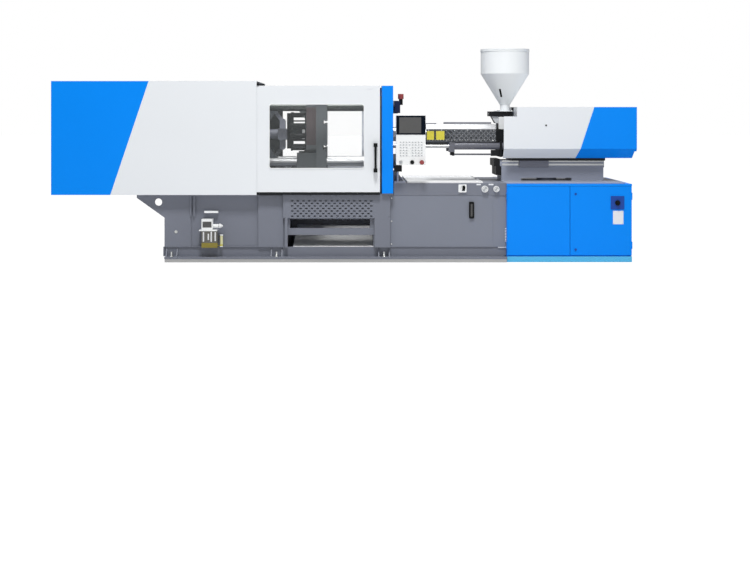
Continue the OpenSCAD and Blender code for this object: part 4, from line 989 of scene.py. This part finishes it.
@dataclass
class ToggleDress:
    """Pin caps, fasteners, ejector drive and inner guard of the clamp unit; the guard's dark paint and the
    darker upper tie bars are painted shade.
    """

    cap_r: float = 30 * MM
    cap_y: float = 93 * MM
    hub_r: float = 43 * MM
    cap_bolts: int = 3
    cap_bolt_r: float = 14 * MM
    back_x: float = -0.189
    cylinder_y: float = 0.170
    cylinders: tuple[tuple[float, float], ...] = (
        (1.336, 14 * MM), (1.225, 24 * MM), (1.135, 24 * MM), (1.018, 20 * MM))
    bar_at: tuple[float, float] = (0.255, 1.402)
    shade_r: float = 37.65 * MM
    guard_x: tuple[float, float] = (-0.818, -0.634)
    guard_y: float = 0.400
    guard_z: tuple[float, float] = (0.610, 1.425)
    guard_t: float = 3 * MM
    fold: float = 25 * MM

    def build(self) -> None:
        """Builds the pieces."""
        for name in ("upper_rear_link", "lower_rear_link"):
            self.knee_caps(name)
        self.ejector_drive()
        self.bar_shade()
        self.inner_shade_guard()
        low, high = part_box("moving_platen")
        seats = [(high[0], y, z) for y in (-0.3, 0.3) for z in (low[2] + 0.16, high[2] - 0.05)]
        fasteners("platen_bolts", "moving_platen", seats, 10 * MM, 9 * MM, Facing.INJECTION_END,
                  Finish.LINK, Head.HEXAGON)

    def knee_caps(self, name: str) -> None:
        """Adds the caps over the knee pin of a rear link, with their bolts.

        Args:
            name: The link's name.
        """
        low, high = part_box(name)
        x = high[0] - self.hub_r
        z = high[2] - self.hub_r if name.startswith("upper") else low[2] + self.hub_r
        caps = MeshPiece(f"{name}_caps", name, Finish.TURNED, "machined_steel")
        for side in (-1, 1):
            caps.disc((x, side * self.cap_y, z), self.cap_r, 6 * MM)
        caps.finish_piece(1.2 * MM, smooth=True)
        turns = (0.5 + 2 * math.pi * k / self.cap_bolts for k in range(self.cap_bolts))
        reach = self.cap_bolt_r
        bolts = [(x + reach * math.cos(a), -self.cap_y - 3 * MM, z + reach * math.sin(a)) for a in turns]
        fasteners(f"{name}_cap_bolts", name, bolts, 4 * MM, 4 * MM, Facing.OPERATOR)

    def ejector_drive(self) -> None:
        """Adds the valve plates and the ejector cylinders behind the moving platen."""
        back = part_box("moving_platen")[1][0] + self.back_x
        plates = MeshPiece("valve_plates", "moving_platen", Finish.BROWN, "dark_paint")
        drive = MeshPiece("ejector_cylinders", "moving_platen", Finish.BLACK, "black_plastic")
        for low, high in both_sides((back + 1 * MM, 0.335, 1.052), (back + 0.091, 0.337, 1.399)):
            plates.block(low, high)
        for low, high in both_sides((back - 12 * MM, 0.138, 1.015), (back, 0.330, 1.352)):
            drive.block(low, high)
        for side in (-1, 1):
            plates.disc((back + 0.066, side * 0.340, 1.235), 3 * MM, 0.31, Axis.Z, 16)
            for z, radius in self.cylinders:
                drive.disc((back - 0.080, side * self.cylinder_y, z), radius, 0.136, Axis.X)
                drive.disc((back - 0.140, side * self.cylinder_y, z), radius + 5 * MM, 0.016, Axis.X)
        for x0, x1, z0, z1 in ((-0.206, -0.141, 1.000, 1.345), (-0.162, 0.020, 1.302, 1.345),
                               (-0.162, 0.020, 1.262, 1.276), (-0.162, 0.020, 1.072, 1.246),
                               (-0.162, 0.020, 1.000, 1.046)):
            drive.block((back + x0, 0.3375, z0), (back + x1, 0.3425, z1))
        plates.finish_piece(0.5 * MM)
        drive.finish_piece(1 * MM, smooth=True)

    def bar_shade(self) -> None:
        """Adds darker steel over the two upper tie bars: painted shade for bars that lie in shadow."""
        bars = MeshPiece("upper_bar_shade", "bed", Finish.SHADED_STEEL, "machined_steel")
        start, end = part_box("end_platen")[1][0], PLACE.face
        y, z = self.bar_at
        for side in (-1, 1):
            bars.disc(((start + end) / 2, side * y, z), self.shade_r, end - start - 0.4 * MM, Axis.X, 64)
        bars.finish_piece(smooth=True)

    def inner_shade_guard(self) -> None:
        """Adds the fixed sheet behind the toggle, folded at its edges and bolted to the deck; its dark paint
        is painted shade, standing in for the shade inside the clamp cover.
        """
        (x0, x1), (foot, top), t = self.guard_x, self.guard_z, self.guard_t
        face = self.guard_y + t
        back = self.guard_y + self.fold
        boxes("toggle_shade_guard", "bed", Finish.DARK, "dark_paint", 0.5 * MM,
              ((x0, self.guard_y, foot), (x1, face, top)),
              *(((x, face, foot), (x + t, back, top)) for x in (x0, x1 - t)),
              ((x0, face, foot), (x1, back + 20 * MM, foot + 4 * MM)),
              ((x0 + t, face, top - self.fold), (x1 - t, back, top - self.fold + t)))
        seats = [(x, self.guard_y + 30 * MM, foot + 4 * MM) for x in (x0 + 0.03, x1 - 0.03)]
        fasteners("toggle_guard_bolts", "bed", seats, 7 * MM, 5 * MM, Facing.UP)


@dataclass
class GateDress:
    """Window beads and the small plate of the sliding gates."""

    gate_y: float = 0.640
    bead: float = 7.2 * MM
    depth: float = 5 * MM
    root: float = -4 * MM
    lap: float = 15 * MM
    corner: float = 19 * MM
    steps: int = 8

    def build(self) -> None:
        """Builds the pieces."""
        for name, side in (("front_gate", -1), ("rear_gate", 1)):
            self.window_bead(name, side)
        x, y = PLACE.face, -self.gate_y
        boxes("gate_tag", "front_gate", Finish.PLATE, "white_plastic", 0.3 * MM,
              ((x - 0.095, y - 1.2 * MM, 1.558), (x - 0.038, y, 1.574)))

    def window_bead(self, name: str, side: int) -> None:
        """Adds the bead round the window of a gate.

        Args:
            name: The gate's name.
            side: -1 on the operator side, 1 at the rear.
        """
        low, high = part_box(f"{name}_window")
        inset = self.lap + self.corner
        centres = ((high[0] - inset, high[2] - inset), (low[0] + inset, high[2] - inset),
                   (low[0] + inset, low[2] + inset), (high[0] - inset, low[2] + inset))
        spots = [(cx, cz, math.pi / 2 * (quarter + step / self.steps))
                 for quarter, (cx, cz) in enumerate(centres) for step in range(self.steps + 1)]
        loops = []
        for out, proud in ((0.0, 0.0), (0.0, self.depth), (self.bead, self.depth), (self.bead, self.root)):
            y, radius = side * (self.gate_y + proud), self.corner + out
            loops.append([(cx + radius * math.cos(a), y, cz + radius * math.sin(a)) for cx, cz, a in spots])
        piece = MeshPiece(f"{name}_bead", name, Finish.MOULDING, "white_plastic")
        piece.skin(loops, closed=True).finish_piece(smooth=True)


@dataclass
class PanelDress:
    """Display, keys and collars of the control panel."""

    keys: tuple[int, int] = (8, 6)
    gap: tuple[int, int] = (3, 4)
    first: tuple[float, float] = (33 * MM, 79.5 * MM)
    key: tuple[float, float] = (14 * MM, 9 * MM)
    pitch: tuple[float, float] = (27 * MM, 24 * MM)
    collars: tuple[tuple[float, float], ...] = ((41 * MM, 16 * MM), (144 * MM, 20 * MM), (230 * MM, 21 * MM))

    def build(self) -> None:
        """Builds the pieces."""
        low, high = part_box("control_screen")
        boxes("display", "panel", Finish.SCREEN, "screen", 0.0,
              ((low[0] + 26.5 * MM, low[1] + 1.0 * MM, low[2] + 13 * MM),
               (high[0] - 38.5 * MM, low[1] + 2.6 * MM, high[2] - 14.5 * MM)))
        low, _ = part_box("control_panel")
        face = low[1] + 2 * MM
        corners = []
        for row in range(self.keys[1]):
            for column in range(self.keys[0]):
                if column == self.gap[0] and row < self.gap[1]:
                    continue
                x = low[0] + self.first[0] + column * self.pitch[0]
                z = low[2] + self.first[1] + row * self.pitch[1]
                corners.append(((x, face - 3.2 * MM, z), (x + self.key[0], face - 1.5 * MM, z + self.key[1])))
        boxes("panel_keys", "panel", Finish.KEY, "machined_steel", 0.5 * MM, *corners)
        collars = MeshPiece("button_collars", "panel", Finish.ZINC, "bright_steel")
        for offset, radius in self.collars:
            collars.ring((low[0] + offset, face - 1.5 * MM, low[2] + 24 * MM), radius, 3 * MM, 3 * MM)
        collars.finish_piece(0.5 * MM, smooth=True)
        low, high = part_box("panel_arm")
        boxes("arm_clamp", "bed", Finish.BLACK, "black_plastic", 1.5 * MM,
              ((low[0] - 1 * MM, low[1] - 1 * MM, high[2] - 72 * MM),
               (low[0] + 65 * MM, -0.499, high[2] - 16.5 * MM)))


@dataclass
class InjectionDress:
    """Plates, rails, dark skins and screws of the injection unit."""

    plate_t: float = 1.5 * MM
    skin: float = 0.8 * MM
    lock_at: tuple[float, float] = (0.394, 1.233)
    mesh_x: float = 0.180
    mesh_z: tuple[float, float] = (1.080, 1.186)
    mesh_pitch: float = 46 * MM
    mesh_w: float = 8 * MM
    mesh_count: int = 10
    rail_y: tuple[float, float] = (-0.0888, -0.0876)

    def build(self) -> None:
        """Builds the pieces."""
        low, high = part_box("barrel_guard")
        x, y = low[0], low[1]
        boxes("guard_plates", "carriage", Finish.YELLOW, "oil_plastic", 0.4 * MM,
              ((x + 6 * MM, y - self.plate_t, 1.096), (x + 72 * MM, y, 1.178)),
              ((x + 91 * MM, y - self.plate_t, 1.096), (x + 170 * MM, y, 1.178)))
        seat_z = high[2] - 8 * MM
        screws = line((x + 0.02, y, seat_z), (high[0] - 0.02, y, seat_z), 6)
        fasteners("guard_screws", "carriage", screws, 4 * MM, 3 * MM, Facing.OPERATOR, head=Head.ROUND)
        lock = MeshPiece("cover_lock", "carriage", Finish.BLACK, "black_plastic")
        x, z = PLACE.bed_x1 + self.lock_at[0], self.lock_at[1]
        lock.disc((x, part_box("injection_cover")[0][1] - 2 * MM, z), 8 * MM, 6 * MM)
        lock.finish_piece(0.8 * MM, smooth=True)
        self.front_plate()
        self.cooling_block()
        self.guard_mesh()
        self.slides()

    def guard_mesh(self) -> None:
        """Adds the raised diamond mesh of the barrel guard and the dark rails along its hood."""
        low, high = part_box("barrel_guard")
        (z0, z1), end, w = self.mesh_z, high[0] - 6 * MM, self.mesh_w
        mesh = MeshPiece("guard_mesh", "carriage", Finish.WIRE, "grey_paint")
        for k in range(self.mesh_count):
            start = low[0] + self.mesh_x + k * self.mesh_pitch
            rise = min(z1 - z0, end - start)
            for foot, tip in ((z0, z0 + rise), (z1, z1 - rise)):
                outline = [(start, foot), (start + w, foot), (start + w + rise, tip), (start + rise, tip)]
                mesh.prism(outline, low[1] - 1.2 * MM, low[1] + 0.5 * MM)
        mesh.finish_piece()
        rails = []
        y0, y1 = self.rail_y
        for x0, x1, top in ((low[0] + 0.167, high[0] - 0.039, 1.2608),
                            (low[0] - 0.0004, low[0] + 0.097, 1.2508)):
            rails.append(((x0, y0, top - 12 * MM), (x1, y1, top)))
            rails.append(((x0, y0, top - 1.2 * MM), (x1, -0.0500, top)))
        boxes("hood_rails", "carriage", Finish.SADDLE, "dark_paint", 0.0, *rails)

    def slides(self) -> None:
        """Adds the guide faces, the saddle skin, the rod foot and the end plates of the cover's notch."""
        low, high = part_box("injection_base")
        x0, x1, end = low[0] + 0.072, high[0] - 0.120, PLACE.bed_x1
        boxes("guide_faces", "bed", Finish.GROUND, "machined_steel", 0.0,
              ((x0, -0.1702, 0.888), (x1, -0.1695, 0.9035)), ((x0, -0.1702, 0.856), (x1, -0.1695, 0.874)))
        boxes("saddle_skin", "carriage", Finish.SADDLE, "grey_paint", 0.5 * MM,
              ((end + 0.1642, -0.1955, 0.8405), (end + 0.4388, -0.1940, 0.9080)))
        boxes("rod_foot", "carriage", Finish.BLACK, "black_plastic", 3 * MM,
              ((end - 0.479, -0.176, 0.952), (end - 0.443, -0.130, 0.984)))
        boxes("notch_plates", "carriage", Finish.WHITE, "white_paint", 0.0,
              *both_sides((end + 0.1262, 0.085, 1.317), (end + 0.1282, 0.3255, 1.3995)))

    def front_plate(self) -> None:
        """Adds the dark skin over the front plate of the injection base."""
        low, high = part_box("injection_base")
        x0, half, skin = low[0], 0.170 + self.skin, self.skin
        boxes("base_front_skin", "bed", Finish.DARK, "dark_paint", 0.6 * MM,
              ((x0 - skin, -half, 0.850 - skin), (x0 + 0.0555, half, high[2] + skin)),
              ((x0 + 0.019 - skin, -half, 0.766), (x0 + 0.069, half, 0.8505)))

    def cooling_block(self) -> None:
        """Adds the pale skins of the cooling block and the funnel of the feed throat."""
        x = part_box("hopper_lid")[0][0] + 0.230
        boxes("cooling_block_skin", "carriage", Finish.MOULDING, "white_plastic", 1 * MM,
              ((x - 0.0708, -0.1048, 1.1952), (x - 0.0152, -0.0702, 1.3108)))
        funnel = MeshPiece("funnel_skin", "carriage", Finish.CHAMFER, "tray_sheet")
        outline = [(x - 0.0712, 1.250), (x - 0.0972, 1.2516), (x - 0.134, 1.3155), (x - 0.0712, 1.3155)]
        funnel.prism(outline, -0.0712, -0.0698).finish_piece()


@dataclass
class HopperDress:
    """Sight slit, rim and neck bolts of the hopper."""

    cone: tuple[float, float] = (1.420, 1.717)
    radii: tuple[float, float] = (0.045, 0.228)
    slit_ends: tuple[tuple[float, float], ...] = ((1.573, -0.062), (1.4975, -0.043))
    slit_half: float = 8 * MM
    slit_depths: tuple[float, float] = (2.5 * MM, -1 * MM)
    bolt_circle: float = 85 * MM

    def build(self) -> None:
        """Builds the pieces."""
        low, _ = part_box("hopper")
        lid_low, lid_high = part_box("hopper_lid")
        centre_x = (lid_low[0] + lid_high[0]) / 2
        rim = MeshPiece("hopper_rim", "carriage", Finish.HOPPER, "hopper_white")
        rim.ring((centre_x, 0, lid_low[2] - 8 * MM), self.radii[1] + 2 * MM, 4 * MM, 10 * MM, Axis.Z, 72)
        rim.finish_piece(1.2 * MM, smooth=True)
        self.sight_slit(centre_x)
        turns = (math.pi / 4 + k * math.pi / 2 for k in range(4))
        bolts = [(centre_x + self.bolt_circle * math.cos(a), self.bolt_circle * math.sin(a), low[2] + 6 * MM)
                 for a in turns]
        fasteners("hopper_bolts", "carriage", bolts, 7 * MM, 6 * MM, Facing.UP)

    def sight_slit(self, centre_x: float) -> None:
        """Adds the dark sight glass on the cone.

        Args:
            centre_x: The X of the hopper's axis.
        """
        half, (proud, root) = self.slit_half, self.slit_depths
        loops = []
        for z, offset in self.slit_ends:
            share = (z - self.cone[0]) / (self.cone[1] - self.cone[0])
            radius = self.radii[0] + (self.radii[1] - self.radii[0]) * share
            corners = ((offset + dx, radius + out) for dx, out in
                       ((-half, proud), (half, proud), (half, root), (-half, root)))
            loops.append([(centre_x + dx, -math.sqrt(dist * dist - dx * dx), z) for dx, dist in corners])
        slit = MeshPiece("hopper_sight", "carriage", Finish.BLACK, "black_plastic")
        slit.skin(loops).finish_piece(0.5 * MM)


@dataclass
class CabinetDress:
    """Plinth skin and bare nameplate of the cabinet, and the plate between it and the foot flange."""

    plate_x: tuple[float, float] = (0.958, 1.0525)
    plate_z: tuple[float, float] = (0.343, 0.464)
    inset: float = 7 * MM

    def build(self) -> None:
        """Builds the pieces."""
        low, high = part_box("cabinet")
        end, face = PLACE.bed_x1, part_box("left_cabinet_door")[0][1] + 6 * MM
        (x0, x1), (z0, z1) = (end + self.plate_x[0], end + self.plate_x[1]), self.plate_z
        boxes("cabinet_nameplate", "right_door", Finish.PLATE, "white_plastic", 0.5 * MM,
              ((x0, face - 1.5 * MM, z0), (x1, face, z1)))
        rivets = [(x, face - 1.5 * MM, z) for x in (x0 + self.inset, x1 - self.inset)
                  for z in (z0 + self.inset, z1 - self.inset)]
        fasteners("nameplate_rivets", "right_door", rivets, 2.5 * MM, 1.5 * MM, Facing.OPERATOR,
                  head=Head.RIVET)
        boxes("plinth_skin", "bed", Finish.PLINTH, "blue_paint", 0.5 * MM,
              ((low[0] + 5 * MM, -0.5975, 1 * MM), (high[0] - 5 * MM, -0.5955, 0.0515)))
        boxes("flange_end_plate", "bed", Finish.GREY, "grey_paint", 0.5 * MM,
              ((end - 19.5 * MM, -0.545, 56 * MM), (end - 0.5 * MM, -0.540, 0.131)))


@dataclass
class TankFittings:
    """Dials, glasses and inserts of the fittings on the tank."""

    gauges: tuple[tuple[float, float], ...] = ((-0.197, 25 * MM), (-0.093, 22 * MM))
    gauge_z: float = 0.659
    face_y: float = -24 * MM
    socket_at: tuple[float, float] = (-0.400, 0.665)
    quarter_share: float = 0.92
    quarter_steps: int = 6

    def build(self) -> None:
        """Builds the pieces."""
        self.dials()
        self.socket()
        end, wall = PLACE.bed_x1, PLACE.wall_y
        boxes("level_strip", "bed", Finish.SCREEN, "screen", 0.5 * MM,
              ((end - 0.3255, wall - 12.5 * MM, 0.4105), (end - 0.3085, wall - 3.5 * MM, 0.5245)))

    def dials(self) -> None:
        """Adds the faces of the two dial gauges, with grey quarters and a needle."""
        z, face = self.gauge_z, PLACE.wall_y + self.face_y
        dials = MeshPiece("gauge_dials", "bed", Finish.DIAL, "white_plastic")
        quarters = MeshPiece("gauge_quarters", "bed", Finish.KEY, "machined_steel")
        marks = MeshPiece("gauge_marks", "bed", Finish.BLACK, "black_plastic")
        for offset, r in self.gauges:
            x = PLACE.bed_x1 + offset
            dials.disc((x, face - 0.6 * MM, z), r, 1.2 * MM)
            for start in (0.0, math.pi):
                turns = (start + math.pi / 2 * k / self.quarter_steps for k in range(self.quarter_steps + 1))
                reach = r * self.quarter_share
                arc = [(x + reach * math.cos(turn), z + reach * math.sin(turn)) for turn in turns]
                quarters.prism([(x, z), *arc], face - 1.7 * MM, face - 1.1 * MM)
            needle = [(x - 1.2 * MM, z - 1 * MM), (x + 1.2 * MM, z - 1 * MM), (x - r * 0.45, z + r * 0.5)]
            marks.prism(needle, face - 2.4 * MM, face - 1.6 * MM)
            marks.disc((x, face - 2 * MM, z), 2.6 * MM, 2.4 * MM, sides=16)
        for piece in (dials, quarters, marks):
            piece.finish_piece()

    def socket(self) -> None:
        """Adds the pale insert of the service socket and its dark flap."""
        x, wall = PLACE.bed_x1 + self.socket_at[0], PLACE.wall_y
        insert = MeshPiece("socket_insert", "bed", Finish.MOULDING, "white_plastic")
        insert.disc((x, wall - 8 * MM, self.socket_at[1]), 20.6 * MM, 5 * MM).finish_piece(0.5 * MM)
        flap = MeshPiece("socket_flap", "bed", Finish.BLACK, "black_plastic")
        outline = [(x - 4 * MM, 0.643), (x + 20 * MM, 0.641), (x + 27 * MM, 0.672), (x + 22 * MM, 0.691),
                   (x + 2 * MM, 0.691)]
        flap.prism(outline, wall - 18.5 * MM, wall - 15.5 * MM).finish_piece(0.5 * MM)


@dataclass
class LubricatorDress:
    """Window, caps and sight tube of the central lubricator."""

    tube_x: float = 0.176
    tube_y: float = -0.608
    bars: tuple[Point, ...] = (
        (0.012, 0.190, 0.276), (0.056, 0.205, 0.262), (0.082, 0.190, 0.280), (0.118, 0.196, 0.276))
    bar_w: float = 13 * MM

    def build(self) -> None:
        """Builds the pieces."""
        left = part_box("lubricator_reservoir")[0][0]
        x, y = left + self.tube_x, self.tube_y
        boxes("lubricator_window", "bed", Finish.SCREEN, "screen", 0.4 * MM,
              ((left + 0.010, -0.6525, 0.318), (left + 0.090, -0.6495, 0.370)))
        caps = MeshPiece("lubricator_caps", "bed", Finish.MOULDING, "white_plastic")
        caps.disc((x, y, 0.246), 15 * MM, 10 * MM, Axis.Z)
        caps.disc((x, y, 0.143), 15 * MM, 8 * MM, Axis.Z)
        caps.disc((x - 15 * MM, y - 1 * MM, 0.329), 21 * MM, 10 * MM, Axis.X)
        caps.disc((x + 2 * MM, y - 1 * MM, 0.329), 20 * MM, 24 * MM, Axis.X, top_radius=6 * MM)
        caps.finish_piece(1 * MM, smooth=True)
        tube = MeshPiece("sight_tube_oil", "bed", Finish.SIGHT, "oil_plastic")
        tube.disc((x, y, 0.193), 14 * MM, 92 * MM, Axis.Z).finish_piece(smooth=True)
        corners = (((left + start, -0.6535, z0), (left + start + self.bar_w, -0.6515, z1))
                   for start, z0, z1 in self.bars)
        boxes("reservoir_bars", "bed", Finish.DIAL, "white_plastic", 0.8 * MM, *corners)


@dataclass
class ValveDress:
    """Coloured cap and body of the limit valve beside the fixed guard."""

    stem_y: float = -0.415

    def build(self) -> None:
        """Builds the pieces."""
        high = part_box("safety_valve")[1]
        x, top = high[0] - 25 * MM, high[2]
        for name, finish, slot, drop, radius, length, bevel in (
                ("valve_cap", Finish.RED, "red_plastic", 23 * MM, 26 * MM, 47 * MM, 2 * MM),
                ("valve_body", Finish.BLACK, "black_plastic", 74 * MM, 18 * MM, 53 * MM, 1 * MM)):
            piece = MeshPiece(name, "bed", finish, slot)
            piece.disc((x, self.stem_y, top - drop), radius, length, Axis.Z).finish_piece(bevel, smooth=True)


@dataclass
class Lamp:
    """An area lamp aimed at the middle of the machine."""

    name: str
    place: Point
    size: float
    power: float
    target: Point = (0.0, 0.0, 0.9)

    def build(self) -> None:
        """Adds the lamp."""
        light = bpy.data.lights.new(self.name, "AREA")
        light.size = self.size
        light.energy = self.power
        lamp = bpy.data.objects.new(self.name, light)
        lamp.location = self.place
        aim = Vector(self.target) - Vector(self.place)
        lamp.rotation_euler = aim.to_track_quat("-Z", "Y").to_euler()
        bpy.context.scene.collection.objects.link(lamp)


@dataclass
class Studio:
    """Floor, backdrop, lamps and camera."""

    distance: float = 12.0
    eye_x: float = -0.035
    eye_z: float = 1.37
    plane_y: float = -0.65
    metres_per_px: float = 0.009
    frame_px: tuple[int, int] = (750, 563)
    centre_px: tuple[float, float] = (344.0, 262.8)
    sensor: float = 36.0
    half_floor: float = 60.0
    sky: float = 0.29
    glossy_share: float = 0.35
    floor_color: Color = (0.72, 0.72, 0.72)
    floor_glow_share: float = 0.90
    glow: float = 1.12

    def build(self) -> None:
        """Builds the studio."""
        self.world()
        self.floor()
        for lamp in (Lamp("key_lamp", (-0.2, -6.4, 10.6), 2.2, 930.0),
                     Lamp("fill_lamp", (1.5, -8.5, 1.2), 5.0, 75.0),
                     Lamp("top_lamp", (0.4, 0.3, 8.5), 3.0, 340.0)):
            lamp.build()
        self.camera()

    def world(self) -> None:
        """Lights the object from a plain pale world that looks white to the camera."""
        world = bpy.data.worlds.new("studio")
        bpy.context.scene.world = world
        world.use_nodes = True
        tree = world.node_tree
        tree.nodes.clear()
        out = tree.nodes.new("ShaderNodeOutputWorld")
        dim = tree.nodes.new("ShaderNodeBackground")
        white = tree.nodes.new("ShaderNodeBackground")
        for shader, strength in ((dim, self.sky), (white, 1.0)):
            shader.inputs["Color"].default_value = (1.0, 1.0, 1.0, 1.0)
            shader.inputs["Strength"].default_value = strength
        path = tree.nodes.new("ShaderNodeLightPath")
        seen = math_node(tree, "MAXIMUM", path.outputs["Is Camera Ray"], path.outputs["Is Transmission Ray"])
        glossy = math_node(tree, "MULTIPLY", path.outputs["Is Glossy Ray"], self.glossy_share)
        seen = math_node(tree, "MAXIMUM", seen, glossy)
        self.mix(tree, seen, dim, white, out.inputs[0])

    @staticmethod
    def mix(tree: Tree, factor: Socket, plain: bpy.types.Node, bright: bpy.types.Node, out: Socket) -> None:
        """Mixes two shaders.

        Args:
            tree: The tree of the shaders.
            factor: The share of the second shader.
            plain: The first shader.
            bright: The second shader.
            out: The input that gets the mix.
        """
        node = tree.nodes.new("ShaderNodeMixShader")
        feed_all(tree, node, {0: factor, 1: plain.outputs[0], 2: bright.outputs[0]})
        tree.links.new(node.outputs[0], out)

    def floor(self) -> None:
        """Adds the pale floor, which keeps the machine's shadow."""
        half = self.half_floor
        corners = [(-half, -half, 0), (half, -half, 0), (half, half, 0), (-half, half, 0)]
        data = bpy.data.meshes.new("studio_floor")
        data.from_pydata(corners, [], [(0, 1, 2, 3)])
        floor = bpy.data.objects.new("studio_floor", data)
        bpy.context.scene.collection.objects.link(floor)
        material = bpy.data.materials.new("studio_floor")
        material.use_nodes = True
        tree = material.node_tree
        shader = tree.nodes["Principled BSDF"]
        feed_all(tree, shader, {"Base Color": self.floor_color, "Roughness": 0.9, "Specular IOR Level": 0.0})
        glow = tree.nodes.new("ShaderNodeEmission")
        glow.inputs["Strength"].default_value = self.glow
        path = tree.nodes.new("ShaderNodeLightPath")
        seen = math_node(tree, "MULTIPLY", path.outputs["Is Camera Ray"], self.floor_glow_share)
        self.mix(tree, seen, shader, glow, tree.nodes["Material Output"].inputs[0])
        data.materials.append(material)

    def camera(self) -> None:
        """Adds a level camera with the frame shifted as in the photograph."""
        width, height = self.frame_px
        data = bpy.data.cameras.new("camera")
        data.sensor_width = self.sensor
        data.lens = self.sensor * self.distance / (width * self.metres_per_px)
        data.shift_x = (width / 2 - self.centre_px[0]) / width
        horizon = self.centre_px[1] - self.eye_z / self.metres_per_px
        data.shift_y = (horizon - height / 2) / width
        data.clip_end = 200.0
        camera = bpy.data.objects.new("camera", data)
        camera.location = (self.eye_x, self.plane_y - self.distance, self.eye_z)
        camera.rotation_euler = (math.pi / 2, 0.0, 0.0)
        bpy.context.scene.collection.objects.link(camera)
        bpy.context.scene.camera = camera


def paint_nodes(nodes: dict[str, bpy.types.Object]) -> None:
    """Gives each construction node its finish.

    Args:
        nodes: The nodes by name.
    """
    for name, node in nodes.items():
        material = PALETTE.get(NODE_FINISHES[name])
        if not node.material_slots:
            node.data.materials.append(material)
        for item in node.material_slots:
            item.material = material
        LOG.info("node %s: %s", name, NODE_FINISHES[name].value.name)


def main() -> None:
    """Builds the scene."""
    logging.basicConfig(level=logging.INFO, format="%(message)s")
    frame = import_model()
    bpy.context.scene.view_settings.view_transform = "Standard"
    paint_nodes(frame["nodes"])
    PLACE.read()
    for part in (BedDress, ToggleDress, GateDress, PanelDress, InjectionDress, HopperDress, CabinetDress,
                 TankFittings, LubricatorDress, ValveDress, Studio):
        part().build()


if __name__ == "__main__":
    main()
